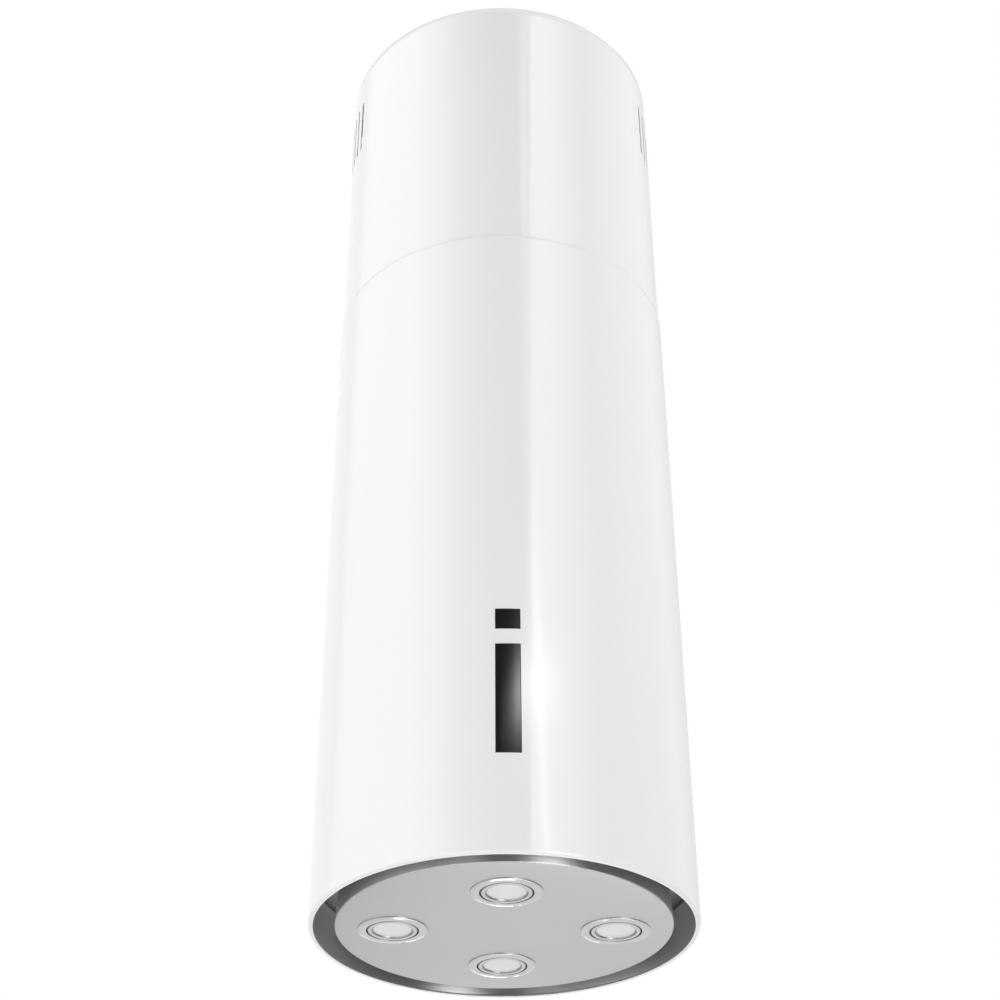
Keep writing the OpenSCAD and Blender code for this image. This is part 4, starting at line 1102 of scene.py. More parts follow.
@dataclass
class Chimney:
    """The white upper tube with its vent slots.

    Attributes:
        sheet: Thickness of the sheet.
        slots: Slots in each side.
        slot_w: Width of a slot.
        slot_h: Height of a slot.
        pitch: Angle from slot to slot, in degrees.
        drop: Distance of the slots below the tube's top.
        steps: Even columns.
        ends: Steps of a slot's round end.
    """

    sheet: float = 1.0 * MM
    slots: int = 11
    slot_w: float = 5.0 * MM
    slot_h: float = 83.0 * MM
    pitch: float = 4.6
    drop: float = 49.0 * MM
    steps: int = 240
    ends: int = 6

    def build(self) -> None:
        """Builds the tube's sheet, with round ends to the slots."""
        half = self.slot_w / 2
        across = [half * math.cos(math.pi * n / self.ends) for n in range(self.ends + 1)]
        lifts: dict[float, float] = {}
        inside: list[tuple[float, float]] = []
        for side in (0.0, math.pi):
            for i in range(self.slots):
                middle = (side + math.radians((i - (self.slots - 1) / 2) * self.pitch)) % (2 * math.pi)
                turns = [(middle + math.asin(x / TUBE_R)) % (2 * math.pi) for x in across]
                for turn, x in zip(turns, across):
                    lifts[turn] = math.sqrt(max(half * half - x * x, 0.0))
                inside.append((middle, math.asin(half / TUBE_R)))
        columns = even_turns(self.steps, lifts)
        low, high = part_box("upper_tube")[0].z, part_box("upper_tube")[1].z
        top, bottom = high - self.drop - half, high - self.drop - self.slot_h + half
        r, t = TUBE_R, self.sheet
        tip = 0.25 * t
        heights = [low + tip, low + 10 * MM, bottom - 4 * half, bottom, top, top + 4 * half, high - 10 * MM,
                   high - tip]
        rows = [(r - tip, r - t + tip, low, low), *((r, r - t, z, z) for z in heights),
                (r - tip, r - t + tip, high, high)]
        slot_row = 4

        def within(j: int) -> bool:
            """Whether the column after j lies in a slot.

            Args:
                j: The column's place in the row.

            Returns:
                True in a slot.
            """
            start, end = columns[j], columns[(j + 1) % len(columns)]
            middle = (start + ((end - start) % (2 * math.pi)) / 2) % (2 * math.pi)
            return any(abs((middle - m + math.pi) % (2 * math.pi) - math.pi) < w for m, w in inside)

        opened = [within(j) for j in range(len(columns))]
        signs = {slot_row: -1.0, slot_row + 1: 1.0}
        sheet = RolledSheet("tube_skin", columns, rows, lambda k, j: k == slot_row and opened[j],
                            lambda k, j: signs.get(k, 0.0) * lifts.get(columns[j], 0.0))
        finished("tube_skin", sheet.build(), WHITE_PAINT, Part.CEILING, ["upper_tube"], 50.0)


@dataclass
class Controls:
    """The two black windows, flush with the shell.

    Attributes:
        thick: Thickness of a window.
        edge: Width of the ground edge round its face.
        steps: Columns of a window.
    """

    thick: float = 3.0 * MM
    edge: float = 0.35 * MM
    steps: int = 16

    def build(self) -> None:
        """Builds each window as a bent pane with a ground edge."""
        for node in ("display_window", "touch_window"):
            low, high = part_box(node)
            finished(f"{node}_pane", self._pane(low, high), GLASS, Part.HOOD, [node], 25.0)

    def _pane(self, low: Vector, high: Vector) -> bpy.types.Mesh:
        """One pane, bent to the shell.

        Args:
            low: The lowest corner of its place.
            high: The highest corner.

        Returns:
            Its mesh.
        """
        bm = bmesh.new()
        face_r, back_r = SHELL_R, SHELL_R - self.thick
        layers = [(face_r, self.edge), (face_r - self.edge, 0.0), (back_r, 0.0)]
        grids = []
        for radius, inset in layers:
            grid = []
            for k in range(2):
                z = (low.z + inset) if k == 0 else (high.z - inset)
                row = []
                for i in range(self.steps + 1):
                    x = (low.x + inset) + (high.x - low.x - 2 * inset) * i / self.steps
                    row.append(bm.verts.new((x, -math.sqrt(radius * radius - x * x), z)))
                grid.append(row)
            grids.append(grid)
        front, back = grids[0], grids[-1]
        for i in range(self.steps):
            bm.faces.new((front[0][i], front[0][i + 1], front[1][i + 1], front[1][i]))
            bm.faces.new((back[0][i + 1], back[0][i], back[1][i], back[1][i + 1]))
        for outer, inner in zip(grids, grids[1:]):
            bridge(bm, self._ring(outer), self._ring(inner), True)
        bmesh.ops.recalc_face_normals(bm, faces=list(bm.faces))
        return mesh_of("pane", bm)

    @staticmethod
    def _ring(grid: list[list]) -> list:
        """The points round a grid's edge, anticlockwise."""
        return grid[0] + list(reversed(grid[1]))


# ---------------------------------------------------------------- the panel and its lamps


# How flat a face lies goes from 0, upright, to 1, level. These limits tell the panel's wall, its bend
# and its floor apart, and a lamp's rounded edges from its level faces.
WALL_LIE = 0.3
FLOOR_LIE = 0.99
FLANGE_EDGE_LIE = 0.8
BORE_EDGE_LIE = 0.995
RING_EDGE_LIE = 0.97


@dataclass
class Panel:
    """The perimeter panel: a pan with a leaning brushed wall, four lamp holes, ears and posts.

    Attributes:
        sheet: Thickness of the sheet.
        bend: Outer radius of the bend.
        lean: Lean of the wall in degrees.
        hole_r: Radius of a lamp hole.
        steps: Faces round the panel.
        hole_steps: Faces round a lamp hole.
        fitting_x: Distance of the hinges and posts from the middle.
        ear_gap: Distance of an ear from its hinge's middle.
        post_half_w: Half of a post's width.
        post_half_d: Half of a post's depth.
    """

    sheet: float = 1.0 * MM
    bend: float = 1.4 * MM
    lean: float = 4.5
    hole_r: float = 29.2 * MM
    steps: int = 240
    hole_steps: int = 48
    fitting_x: float = 45.0 * MM
    ear_gap: float = 3.0 * MM
    post_half_w: float = 9.0 * MM
    post_half_d: float = 4.0 * MM

    @staticmethod
    def spots() -> list[Vector]:
        """The lamps' centres, at the panel's lower face.

        Returns:
            One point for each lamp.
        """
        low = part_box("perimeter_panel")[0].z
        middles = []
        for i in range(1, 5):
            corner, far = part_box(f"lamp_lens_{i}")
            middles.append(Vector(((corner.x + far.x) / 2, (corner.y + far.y) / 2, low)))
        return middles

    def build(self) -> None:
        """Builds the pan, then the ears and the posts."""
        low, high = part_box("perimeter_panel")
        radius = high.x
        holes = [(s.x, s.y, self.hole_r) for s in self.spots()]
        bm = bmesh.new()
        flat = radius - self.bend
        (rim, cut), (top_rim, top_cut) = (
            pierced_disc(bm, flat, low.z + rise, holes, self.steps, self.hole_steps, up)
            for rise, up in ((0.0, False), (self.sheet, True)))
        for a, b in zip(cut, top_cut):
            bridge(bm, a, b)
        centre = (flat, low.z + self.bend)
        outside = self._wall(arc(centre, self.bend, -90, self.lean, 7)[1:], high.z)
        inside = self._wall(arc(centre, self.bend - self.sheet, -90, self.lean, 7)[1:], high.z)
        outer_rings = [rim, *(ring_of(bm, r, z, self.steps) for r, z in outside)]
        inner_rings = [top_rim, *(ring_of(bm, r, z, self.steps) for r, z in inside)]
        for rings, flipped in ((outer_rings, False), (inner_rings, True)):
            for a, b in zip(rings, rings[1:]):
                bridge(bm, a, b, flipped)
        bridge(bm, outer_rings[-1], inner_rings[-1])
        bmesh.ops.recalc_face_normals(bm, faces=list(bm.faces))
        mesh = painted(mesh_of("panel_skin", bm), (PANEL_STEEL, BAND_STEEL, BEND_STEEL), self._zone)
        finished("panel_skin", mesh, PANEL_STEEL, Part.PANEL, ["perimeter_panel"], 40.0)
        self._fittings(low.z + self.sheet)

    def _wall(self, foot: Profile, top: float) -> Profile:
        """The bend's points with the leaning wall above them.

        Args:
            foot: The bend's points.
            top: Height of the wall's top.

        Returns:
            The points from the bend's start to the wall's top.
        """
        last = foot[-1]
        rise = top - last[1]
        tilt = math.tan(math.radians(self.lean))
        return [*foot, *((last[0] - rise * tilt * s, last[1] + rise * s) for s in (0.5, 0.985, 1.0))]

    @staticmethod
    def _zone(face: bpy.types.MeshPolygon) -> int:
        """Tells the flat floor, 0, from the upright wall, 1, and the bend between them, 2."""
        lie = abs(face.normal.z)
        return 1 if lie < WALL_LIE else 2 if lie < FLOOR_LIE else 0

    def _fittings(self, floor: float) -> None:
        """The hinge ears and the catch posts, on the pan's floor.

        Args:
            floor: Height of the floor's upper face.
        """
        arms, pins, catch = (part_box(node) for node in ("hinge_arms", "hinge_pins", "magnet_catches"))
        pin_z = (pins[0].z + pins[1].z) / 2
        pin_y = (pins[0].y + pins[1].y) / 2
        post_y = (catch[0].y + catch[1].y) / 2
        top = catch[0].z - 0.2 * MM
        for side, word in ((-1, "left"), (1, "right")):
            middle = side * self.fitting_x
            for n, at in enumerate((-1, 1)):
                ear = self._ear(middle + at * self.ear_gap, pin_y, pin_z, floor)
                finished(f"hinge_ear_{word}_{n + 1}", ear, ZINC, Part.PANEL)
            post = block("post", (middle - self.post_half_w, post_y - self.post_half_d, floor),
                         (middle + self.post_half_w, post_y + self.post_half_d, top), 0.8 * MM)
            finished(f"catch_post_{word}", post, ZINC, Part.PANEL)
        LOG.info("hinge arms end %.1f mm above the pan", (arms[0].z - floor) / MM)

    def _ear(self, x: float, y: float, z: float, floor: float) -> bpy.types.Mesh:
        """One hinge ear: a plate with a round top.

        Args:
            x: Its middle.
            y: The pin's place.
            z: The pin's height.
            floor: The pan's floor.

        Returns:
            Its mesh.
        """
        half, radius = 1.0 * MM, 5.5 * MM
        outline = [(-radius, floor - z), (radius, floor - z), *arc((0.0, 0.0), radius, 0, 180, 12)]
        bm = bmesh.new()
        near = [bm.verts.new((x - half, y + u, z + v)) for u, v in outline]
        far = [bm.verts.new((x + half, y + u, z + v)) for u, v in outline]
        bm.faces.new(near)
        bm.faces.new(list(reversed(far)))
        bridge(bm, near, far, True)
        bmesh.ops.recalc_face_normals(bm, faces=list(bm.faces))
        return mesh_of("ear", bm)


@dataclass
class Lamp:
    """One lamp: a flange with sleeve and clips, an inner ring with its cup and fins, and a lens.

    Attributes:
        number: Its place, from 1 to 4.
        flange_r: Radius of the flange.
        sleeve_r: Radius of the sleeve behind the panel.
        bore_r: Radius of the flange's bore.
        ring_r: Radius of the inner ring.
        lens_r: Radius of the lens in view.
        proud: How far the flange stands below the panel.
        sleeve_h: Height of the sleeve above the panel's lower face.
        cup_h: Height of the cup.
        depth: Height of the fins' upper ends.
        notch: Angle of the notch in the flange's edge, in degrees.
        notch_half: Half of the angle that the notch takes up.
        fins: How many fins the heat sink has.
        fin_t: Thickness of a fin.
        clip_t: Thickness of a spring clip.
        clip_half: Half of a clip's width.
        steps: Sides of the round parts.
    """

    number: int
    flange_r: float = 35.0 * MM
    sleeve_r: float = 29.0 * MM
    bore_r: float = 26.0 * MM
    ring_r: float = 25.4 * MM
    lens_r: float = 19.5 * MM
    proud: float = 1.4 * MM
    sleeve_h: float = 14.0 * MM
    cup_h: float = 15.0 * MM
    depth: float = 29.0 * MM
    notch: float = 72.0
    notch_half: float = 4.0
    fins: int = 12
    fin_t: float = 1.6 * MM
    clip_t: float = 0.8 * MM
    clip_half: float = 4.5 * MM
    steps: int = 120

    def build(self, centre: Vector) -> None:
        """Builds the lamp.

        Args:
            centre: Its centre, at the panel's lower face.
        """
        self._flange(centre)
        self._housing(centre)
        self._lens(centre)
        self._clips(centre)

    def _flange(self, centre: Vector) -> None:
        """The flange and sleeve: a dished ring with a rolled edge and a small notch.

        Args:
            centre: The lamp's centre, at the panel's lower face.
        """
        r, p, bore = self.flange_r, self.proud, self.bore_r
        outline = [(r, 0.0), (self.sleeve_r, 0.0), (self.sleeve_r, self.sleeve_h), (bore, self.sleeve_h),
                   (bore, -0.5 * p), *arc((bore + 0.4 * p, -0.52 * p), 0.4 * p, 180, 270, 4),
                   (bore + 1.2 * p, -0.95 * p), (r - 2.9 * p, -p), (r - 2.6 * p, -p), (r - 2.4 * p, -0.97 * p),
                   (r - 0.5 * p, -0.65 * p), *arc((r - 0.32 * p, -0.30 * p), 0.32 * p, -80, 0, 5)]

        def notched(turn: float, radius: float, height: float) -> tuple[float, float]:
            """Draws the flange's outer edge in at the notch.

            Args:
                turn: The point's angle round the lamp, in radians.
                radius: The point's radius.
                height: Its height.

            Returns:
                Its radius and height, drawn in at the notch.
            """
            off = abs((math.degrees(turn) - self.notch + 180) % 360 - 180)
            if off > self.notch_half or radius < r - 1.2 * p:
                return radius, height
            return min(radius, r - 1.1 * p), height

        mesh = lathe("flange", list(reversed(outline)), centre, self.steps, notched)
        face_from = bore + 1.3 * p
        # The flange's rolled edge and bore edge take the darker metal, as painted shade.
        self._darken(mesh, centre,
                     lambda radius, lie: lie < (FLANGE_EDGE_LIE if radius > face_from else BORE_EDGE_LIE))
        finished(f"lamp_flange_{self.number}", mesh, LAMP_METAL, Part.PANEL, [f"lamp_bezel_{self.number}"],
                 45.0)

    def _housing(self, centre: Vector) -> None:
        """The inner ring with its cup, and the fins behind it.

        Args:
            centre: The lamp's centre, at the panel's lower face.
        """
        r, lens = self.ring_r, self.lens_r
        cup_floor = self.cup_h - 2 * MM
        outline = [(0.0, cup_floor), (lens + 1 * MM, cup_floor), (lens + 1 * MM, 0.6 * MM), (lens, 0.6 * MM),
                   (lens, 0.1 * MM), (lens + 0.3 * MM, -0.5 * MM),
                   *arc((lens + 1.5 * MM, -0.2 * MM), 1.15 * MM, 205, 268, 6),
                   *arc((r - 1.6 * MM, 0.25 * MM), 1.6 * MM, -88, 0, 7), (r, self.cup_h), (0.0, self.cup_h)]
        mesh = lathe("housing", outline, centre, self.steps)
        bead, corner = lens + 1.45 * MM, r - 1.2 * MM
        # The bead by the lens and the ring's outer corner take the darker metal, as painted shade.
        self._darken(mesh, centre,
                     lambda radius, lie: radius < bead or (lie < RING_EDGE_LIE and radius > corner))
        finished(f"lamp_ring_{self.number}", mesh, LAMP_METAL, Part.PANEL, [f"lamp_body_{self.number}"], 40.0)
        fins = fin_mesh(self.fins, 5 * MM, r - 0.5 * MM, self.fin_t, self.depth - self.cup_h)
        fins.transform(Matrix.Translation(centre + Vector((0, 0, self.cup_h))))
        finished(f"lamp_fins_{self.number}", fins, SINK_METAL, Part.PANEL)

    @staticmethod
    def _darken(mesh: bpy.types.Mesh, centre: Vector, chosen: Callable[[float, float], bool]) -> None:
        """Gives a lamp's mesh its metal, and a duller, darker one, painted shade, where a face's radius and lie
        are chosen.
        """
        painted(mesh, (LAMP_METAL, LAMP_EDGE_SHADE),
                lambda face: int(chosen((face.center - centre).xy.length, abs(face.normal.z))))

    def _lens(self, centre: Vector) -> None:
        """The lens: a shallow dome.

        Args:
            centre: The lamp's centre, at the panel's lower face.
        """
        r, edge, depth = self.lens_r + 0.9 * MM, 0.7 * MM, 1.9 * MM
        turns = [math.radians(90 * i / 12) for i in range(12)]
        face = [(r * math.cos(t), edge - depth * math.sin(t)) for t in turns]
        outline = [(0.0, edge - depth), *reversed(face), (r, 2.4 * MM), (0.0, 2.4 * MM)]
        mesh = lathe("lens", outline, centre, self.steps)
        finished(f"lamp_lens_dome_{self.number}", mesh, LENS, Part.PANEL, [f"lamp_lens_{self.number}"], 40.0)

    def _clips(self, centre: Vector) -> None:
        """Two bent leaf springs that hold the lamp against the panel.

        Args:
            centre: The lamp's centre, at the panel's lower face.
        """
        turned = Matrix.Rotation(math.radians(90 * self.number), 4, "Z")
        for n, side in enumerate((-1, 1)):
            half = self.clip_half
            path = [(self.sleeve_r + 0.4 * MM, self.sleeve_h - 1 * MM), (self.sleeve_r + 0.4 * MM, 2.6 * MM),
                    *arc((self.sleeve_r + 1.8 * MM, 2.8 * MM), 1.4 * MM, 180, 270, 4),
                    (self.sleeve_r + 7.6 * MM, 1.45 * MM)]
            bm = bmesh.new()
            rows = []
            for i, (u, v) in enumerate(path):
                before, after = path[max(i - 1, 0)], path[min(i + 1, len(path) - 1)]
                along = Vector((after[0] - before[0], after[1] - before[1])).normalized()
                across = Vector((-along.y, along.x)) * (self.clip_t / 2)
                corners = [Vector((side * (u + s * across.x), w, v + s * across.y))
                           for s, w in ((1, -half), (1, half), (-1, half), (-1, -half))]
                rows.append([bm.verts.new(centre + turned @ corner) for corner in corners])
            for a, b in zip(rows, rows[1:]):
                bridge(bm, a, b)
            bm.faces.new(rows[0])
            bm.faces.new(list(reversed(rows[-1])))
            bmesh.ops.recalc_face_normals(bm, faces=list(bm.faces))
            finished(f"lamp_clip_{self.number}_{n + 1}", mesh_of("clip", bm), ZINC, Part.PANEL)


# ---------------------------------------------------------------- the intake


@dataclass
class Intake:
    """What shows inside the rim: the lining band, the filter's pad and the screws below the deck.

    Attributes:
        sheet: Thickness of the lining band.
        seam: Depth of the painted seam shadow at the top of its inner face.
        steps: Sides of the lining band.
        loop_pitch: Distance from loop to loop of the knitted pad.
        wire_r: Radius of the pad's wire.
        pad_lift: Height of the loops' middle above the pad's underside.
        core_lift: Height of the pad's backing above its underside.
        screw_reach: Distance of each deck screw from the hood's axis, along X and along Y.
        screw_r: Radius of a screw's dome.
        screw_h: Height of a screw's dome.
    """

    sheet: float = 1.0 * MM
    seam: float = 1.3 * MM
    steps: int = 240
    loop_pitch: float = 7.0 * MM
    wire_r: float = 0.35 * MM
    pad_lift: float = 3.0 * MM
    core_lift: float = 4.5 * MM
    screw_reach: float = 113 * MM
    screw_r: float = 4.6 * MM
    screw_h: float = 1.2 * MM

    def build(self) -> None:
        """Builds the lining band with a rolled edge and a painted shadow along the top of its inner face, the
        knitted pad and the screw heads.
        """
        low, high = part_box("lining_band")
        r, t = high.x, self.sheet
        tip = 0.2 * t
        outline = [(r - tip, low.z), (r, low.z + tip), (r, high.z - tip), (r - tip, high.z),
                   (r - t + tip, high.z), (r - t, high.z - tip), (r - t, high.z - self.seam),
                   (r - t, low.z + tip), (r - t + tip, low.z)]
        mesh = lathe("lining", outline, Vector((0, 0, 0)), self.steps)
        # The top of the inner face is painted near black: a painted shadow that stands for the gap below the
        # deck.
        painted(mesh, (LINING_STEEL, SEAM_SHADE), lambda face: int(face.center.z > high.z - self.seam))
        finished("lining_ring", mesh, LINING_STEEL, Part.HOOD, ["lining_band"], 40.0)
        self._pad()
        self._screws()

    def _pad(self) -> None:
        """The knitted pad inside the cassette, on its backing."""
        low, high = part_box("filter_mesh")
        size = high - low
        pad = knit_mesh(size.x, size.y, self.loop_pitch, self.wire_r)
        middle = Vector(((low.x + high.x) / 2, (low.y + high.y) / 2, low.z + self.pad_lift))
        pad.transform(Matrix.Translation(middle))
        finished("knitted_pad", pad, FILTER_METAL, Part.HOOD)
        core = block("pad_core", (low.x, low.y, low.z + self.core_lift), high, 0.5 * MM)
        finished("pad_core", core, FILTER_METAL, Part.HOOD, ["filter_mesh"])

    def _screws(self) -> None:
        """Domed heads below the deck, over the plain ones of the uprights' screws."""
        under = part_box("deck_screws")[0].z
        reach = self.screw_reach
        spots = [Vector((x * reach, y * reach, under)) for x in (-1, 1) for y in (-1, 1)]
        heads = screw_mesh(spots, Vector((0, 0, -1)), self.screw_r, self.screw_h)
        finished("deck_screw_domes", heads, SCREW_ZINC, Part.HOOD)


# ---------------------------------------------------------------- finishes of the CAD nodes that stay


NODE_FINISHES: dict[Finish, tuple[str, ...]] = {
    ZINC: ("ceiling_plate", "tube_brackets", "shell_hangers", "blower_box", "bridge_plate", "motor_bracket",
           "hinge_arms", "upper_upright", "lower_upright"),
    SCREW_ZINC: ("ceiling_screws", "clamp_screws", "deck_screws", "standoffs", "blower_screws",
                 "control_studs", "hinge_pins", "motor_shaft"),
    WHITE_PAINT: ("lower_shell", "upper_tube"),
    DECK_STEEL: ("intake_deck",),
    LINING_STEEL: ("lining_band",),
    PANEL_STEEL: ("perimeter_panel",),
    FILTER_METAL: ("filter_frame", "filter_mesh"),
    DARK_PLASTIC: ("filter_latch", "control_housing", "cable_gland", "magnet_catches"),
    CASING_PLASTIC: ("casing_left", "casing_right", "outlet_duct", "outlet_collar", "flap_left",
                     "flap_right"),
    MOTOR_ENAMEL: ("motor_case",),
    WHEEL_SHEET: ("impeller",),
    BOX_PAINT: ("power_box", "power_box_lid"),
    BOARD: ("driver_board", "control_board"),
    GLASS: ("display_window", "touch_window"),
    LAMP_METAL: ("lamp_bezel", "lamp_body"),
    LENS: ("lamp_lens",),
}


def dress_nodes() -> None:
    """Gives every CAD node its finish."""
    for finish, stems in NODE_FINISHES.items():
        for name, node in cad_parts.items():
            if any(name == stem or name[:-2] == stem for stem in stems):
                node.data.materials.clear()
                node.data.materials.append(finish.material())
                node["dressed"] = True
    bare = [name for name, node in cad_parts.items() if not node.get("dressed")]
    LOG.info("CAD nodes dressed: %d, bare: %s", len(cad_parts) - len(bare), bare or "none")


# ---------------------------------------------------------------- studio


def around(azimuth: float, distance: float, height: float) -> Vector:
    """A point round the hood.

    Args:
        azimuth: Degrees round the hood from its front, to the right as one faces it.
        distance: Distance from the hood's axis.
        height: Height above the rim.

    Returns:
        The point.
    """
    turn = math.radians(azimuth)
    return Vector((distance * math.sin(turn), -distance * math.cos(turn), RIM_Z + height))


def area_lamp(name: str, level: float, width: float, height: float, mirrored: bool) -> bpy.types.Object:
    """Makes a rectangular lamp that the camera doesn't see.

    Args:
        name: Its name.
        level: Brightness of its face, where 1 is white.
        width: Its size along its own X.
        height: Its size along its own Y.
        mirrored: Whether glossy surfaces show it.

    Returns:
        The lamp, at the origin and facing down.
    """
    data = bpy.data.lights.new(name, "AREA")
    data.shape = "RECTANGLE"
    data.size, data.size_y = width, height
    data.energy = level * math.pi * width * height
    lamp = linked(name, data)
    lamp.visible_camera = False
    lamp.visible_glossy = mirrored
    LOG.info("lamp %s: %.2f m wide, level %.2f", name, width, level)
    return lamp


@dataclass
class Softbox:
    """A tall rectangular lamp that stands between two bearings round the hood and faces its axis.

    Attributes:
        name: Its name.
        bearings: Degrees round the hood of its left and right edges, as one faces the hood.
        heights: Heights above the rim of its lower and upper edges.
        level: Brightness of its face, where 1 is white.
        distance: Distance of its edges from the hood's axis.
        lean: How far its top leans to the right, in degrees.
        fade: Position and share of the level across it, from its left edge to its right one.
        rise: Position and share of the level up it, from its foot to its top.
        mirrored: Whether glossy surfaces show it.
    """

    name: str
    bearings: tuple[float, float]
    heights: tuple[float, float]
    level: float
    distance: float = 1.9
    lean: float = 0.0
    fade: tuple[tuple[float, float], ...] = ()
    rise: tuple[tuple[float, float], ...] = ((0.0, 1.0),)
    mirrored: bool = True

    def build(self) -> None:
        """Makes the lamp."""
        middle = sum(self.heights) / 2
        left, right = (around(b, self.distance, middle) for b in self.bearings)
        lamp = area_lamp(self.name, self.level, (right - left).length, self.heights[1] - self.heights[0],
                         self.mirrored)
        across = (right - left).normalized()
        up = Vector((0, 0, 1))
        lean = math.radians(self.lean)
        side = across * math.cos(lean) - up * math.sin(lean)
        rise = up * math.cos(lean) + across * math.sin(lean)
        back = side.cross(rise)
        place = (left + right) / 2
        lamp.matrix_world = Matrix(((side.x, rise.x, back.x, place.x), (side.y, rise.y, back.y, place.y),
                                    (side.z, rise.z, back.z, place.z), (0, 0, 0, 1)))
        if self.fade:
            self._shade(lamp.data)

    def _shade(self, data: bpy.types.Light) -> None:
        """Fades the lamp's face from side to side and from foot to top.

        Args:
            data: The lamp's data.
        """
        data.use_nodes = True
        data.node_tree.nodes.clear()
        t = Tree(data.node_tree)
        face = t.node("ShaderNodeTexCoord")
        split = t.node("ShaderNodeSeparateXYZ", Vector=Wire(t, face.outputs["UV"]))
        across = t.wire("ShaderNodeValToRGB", settings={"stops": self.fade}, Fac=Wire(t, split.outputs["X"]))
        up = t.wire("ShaderNodeValToRGB", settings={"stops": self.rise}, Fac=Wire(t, split.outputs["Y"]))
        glow = t.wire("ShaderNodeEmission", Strength=across * up)
        t.node("ShaderNodeOutputLight", Surface=glow)


@dataclass
class Flag:
    """A card that only glossy surfaces show.

    Attributes:
        finish: Its finish.
        bearings: Degrees round the hood of its edges.
        heights: Heights above the rim of its lower and upper edges.
        distance: Distance of its edges from the hood's axis.
    """

    finish: ShadeCard
    bearings: tuple[float, float]
    heights: tuple[float, float] = (0.0, 6.0)
    distance: float = 3.4

    def build(self) -> None:
        """Makes the card."""
        left, right = (around(b, self.distance, 0.0) for b in self.bearings)
        low, high = (RIM_Z + h for h in self.heights)
        bm = bmesh.new()
        corners = [(left.x, left.y, low), (right.x, right.y, low), (right.x, right.y, high),
                   (left.x, left.y, high)]
        bm.faces.new([bm.verts.new(c) for c in corners])
        mesh = mesh_of(self.finish.name, bm)
        mesh.materials.append(self.finish.material())
        card = linked(self.finish.name, mesh)
        card.visible_camera = card.visible_diffuse = card.visible_shadow = False


@dataclass
class FloorLamp:
    """A square lamp that lies just above the floor and shines up.

    Attributes:
        name: Its name.
        place: Its centre, in metres from the hood's axis.
        size: Its side.
        level: Brightness of its face, where 1 is white.
        mirrored: Whether it is seen in glossy surfaces, and only there.
    """

    name: str
    place: tuple[float, float]
    size: float
    level: float
    mirrored: bool

    def build(self, floor_z: float) -> None:
        """Makes the lamp above a floor at a height.

        Args:
            floor_z: The floor's height.
        """
        lamp = area_lamp(self.name, self.level, self.size, self.size, self.mirrored)
        above = Matrix.Translation((*self.place, floor_z + 10 * MM))
        lamp.matrix_world = above @ Matrix.Rotation(math.pi, 4, "X")
        lamp.visible_diffuse = not self.mirrored


@dataclass
class Studio:
    """The floor, the world's light, the lamps, the cards and the camera.

    Attributes:
        floor_drop: Height of the rim above the floor.
        floor_size: Side of the floor.
        sky_diffuse: Strength of the world for diffuse light.
        lens: The camera's focal length in millimetres.
        distance: The camera's distance from the hood's axis.
        heading: The camera's turn round the hood, in degrees.
        below: How far the camera stands below the rim.
        pitch: How far the camera looks up, in degrees.
        pan: How far it looks aside, in degrees.
        roll: How far it leans, in degrees.
        lamps: The lamps that stand round the hood.
        cards: The cards.
        floor_lamps: The lamps on the floor.
    """

    floor_drop: float = 1.65
    floor_size: float = 14.0
    sky_diffuse: float = 0.375
    lens: float = 66.43
    distance: float = 1.7564
    heading: float = -1.5
    below: float = 0.680
    pitch: float = 34.33
    pan: float = -0.07
    roll: float = -0.28
    lamps: list[Softbox] = field(default_factory=list)
    cards: list[Flag] = field(default_factory=list)
    floor_lamps: list[FloorLamp] = field(default_factory=list)

    def build(self) -> None:
        """Makes the floor, the world, the lamps and the camera."""
        self._floor()
        self._world()
        for piece in (*self.cards, *self.lamps):
            piece.build()
        for lamp in self.floor_lamps:
            lamp.build(RIM_Z - self.floor_drop)
        self._camera()

    def _floor(self) -> None:
        """A plain pale floor far below the rim."""
        bm = bmesh.new()
        bmesh.ops.create_grid(bm, x_segments=1, y_segments=1, size=self.floor_size / 2)
        mesh = mesh_of("floor", bm)
        mesh.transform(Matrix.Translation((0, 0, RIM_Z - self.floor_drop)))
        mesh.materials.append(FLOOR.material())
        floor = linked("floor", mesh)

    def _world(self) -> None:
        """White to the camera, in reflections and through glass, and softer as light."""
        world = bpy.data.worlds.new("studio")
        world.use_nodes = True
        world.node_tree.nodes.clear()
        t = Tree(world.node_tree)
        rays = t.node("ShaderNodeLightPath")
        seen = Wire(t, rays.outputs["Is Camera Ray"])
        for output in ("Is Glossy Ray", "Is Transmission Ray"):
            seen = seen.most(Wire(t, rays.outputs[output]))
        strength = self.sky_diffuse + seen * (1.0 - self.sky_diffuse)
        sky = t.wire("ShaderNodeBackground", Color=(1.0, 1.0, 1.0, 1.0), Strength=strength)
        t.node("ShaderNodeOutputWorld", Surface=sky)
        bpy.context.scene.world = world

    def _camera(self) -> None:
        """The camera, below the rim and looking up at the hood."""
        data = bpy.data.cameras.new("camera")
        data.lens = self.lens
        data.sensor_width = SENSOR_WIDTH
        camera = linked("camera", data)
        turn, pitch, pan = (math.radians(a) for a in (self.heading, self.pitch, self.pan))
        place = Vector((self.distance * math.sin(turn), -self.distance * math.cos(turn), RIM_Z - self.below))
        look = Vector((math.sin(pan - turn) * math.cos(pitch), math.cos(pan - turn) * math.cos(pitch),
                       math.sin(pitch)))
        across = look.cross(Vector((0, 0, 1))).normalized()
        over = across.cross(look)
        lean = math.radians(self.roll)
        right = across * math.cos(lean) + over * math.sin(lean)
        up = right.cross(look)
        camera.matrix_world = Matrix((
            (right.x, up.x, -look.x, place.x),
            (right.y, up.y, -look.y, place.y),
            (right.z, up.z, -look.z, place.z),
            (0.0, 0.0, 0.0, 1.0)))
        bpy.context.scene.camera = camera


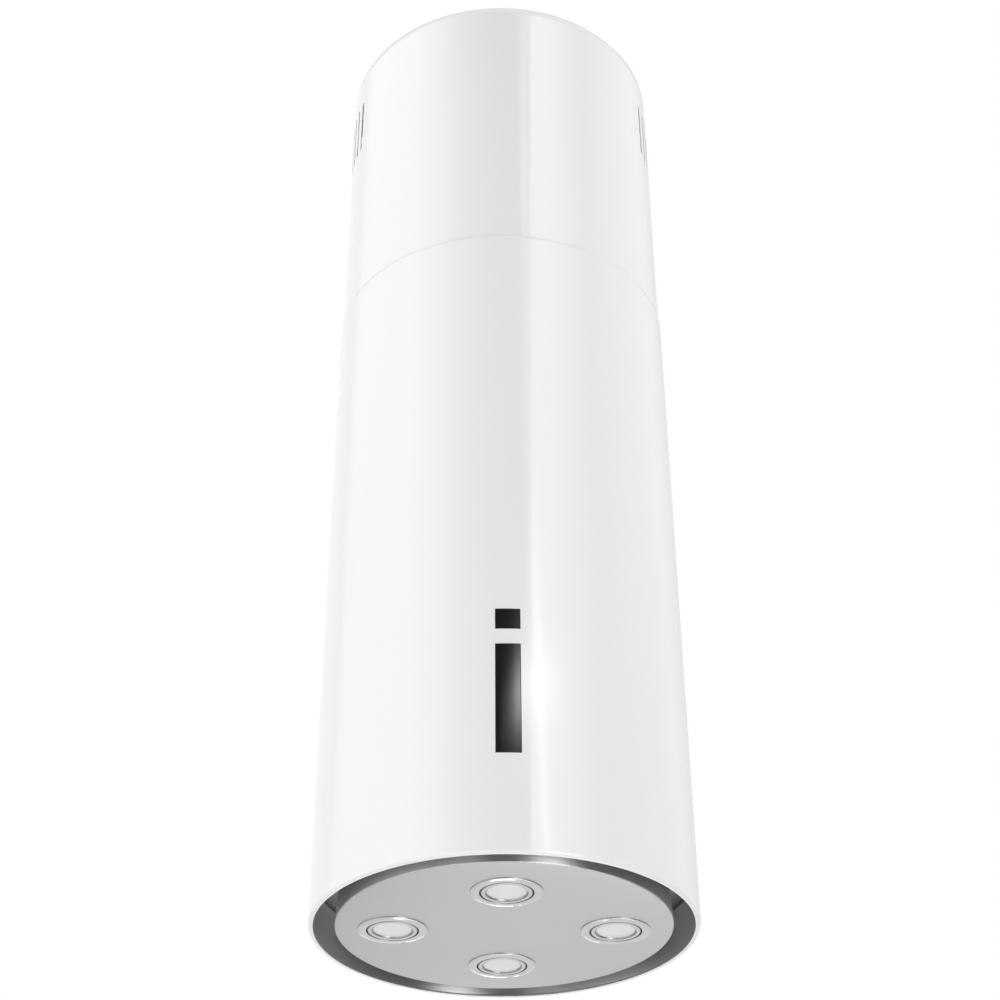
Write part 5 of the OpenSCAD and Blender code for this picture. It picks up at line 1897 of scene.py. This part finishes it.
LAMPS = [
    Softbox("left_softbox", (-118.0, -30.0), (-1.2, 3.4), 1.01, fade=(
        (0.0, 0.22), (0.325, 0.62), (0.635, 1.0), (0.682, 0.98), (0.729, 0.70), (0.798, 0.66), (0.849, 0.55),
        (0.919, 0.35), (1.0, 0.0)), rise=((0.3, 1.09), (0.9, 0.95)), lean=-6.0),
    Softbox("right_strip", (14.3, 56.7), (-1.6, 3.4), 1.38, fade=(
        (0.0, 1.0), (0.3, 0.85), (0.6, 0.4), (1.0, 0.0)), lean=7.0),
    Softbox("right_core", (-4.0, 46.0), (0.615, 1.415), 2.9, fade=(
        (0.0, 0.0), (0.10, 0.15), (0.17, 0.42), (0.23, 0.95), (0.27, 1.0), (0.45, 0.92), (0.57, 0.75),
        (0.70, 0.35), (0.82, 0.1), (1.0, 0.0)), rise=(
        (0.0, 0.0), (0.2, 0.01), (0.27, 0.04), (0.333, 0.10), (0.364, 0.20), (0.395, 0.37), (0.426, 0.60),
        (0.457, 0.88), (0.488, 1.0), (0.519, 1.0), (0.549, 0.78), (0.58, 0.50), (0.611, 0.28), (0.642, 0.15),
        (0.704, 0.06), (0.85, 0.02), (1.0, 0.0))),
    Softbox("right_line", (21.5, 29.0), (-1.6, 1.7), 1.6, fade=(
        (0.0, 0.0), (0.4, 1.0), (0.6, 1.0), (1.0, 0.0)), rise=(
        (0.0, 1.0), (0.85, 1.0), (1.0, 0.0)), lean=-10.0),
    Softbox("right_fill", (70.0, 150.0), (-0.2, 3.4), 0.75, mirrored=False),
]

CARDS = [
    Flag(ShadeCard("front_card", "flag"), (-40.0, 13.0), (-1.0, 6.0)),
    Flag(ShadeCard("side_card", "flag", (2.3, 3.35), ((0.0, 1.0), (0.35, 0.75), (0.6, 0.8), (1.0, 1.0))),
         (43.0, 80.0)),
    Flag(ShadeCard("back_card", "flag", (-1.0, 1.0), ((0.0, 2.8), (1.0, 2.8))), (175.5, 182.5),
         (-0.31, -0.09)),
    Flag(ShadeCard("rear_card", "flag", (2.9, 1.7), ((0.0, 1.0), (1.0, 0.8))), (120.0, 176.0), (-1.0, 6.0)),
]

FLOOR_LAMPS = [
    FloorLamp("floor_glow", (0.0, 0.0), 7.0, 0.35, False),
    FloorLamp("floor_spot", (0.0, 1.85), 0.34, 1.3, True),
]


def main() -> None:
    """Builds the hood's pieces and the studio."""
    logging.basicConfig(level=logging.INFO, format="%(name)s: %(message)s")
    bpy.context.scene.view_settings.view_transform = "Standard"
    dress_nodes()
    Shell().build()
    Chimney().build()
    Controls().build()
    Panel().build()
    for number, spot in enumerate(Panel.spots(), start=1):
        Lamp(number).build(spot)
    Intake().build()
    Studio(lamps=LAMPS, cards=CARDS, floor_lamps=FLOOR_LAMPS).build()


if __name__ == "__main__":
    main()
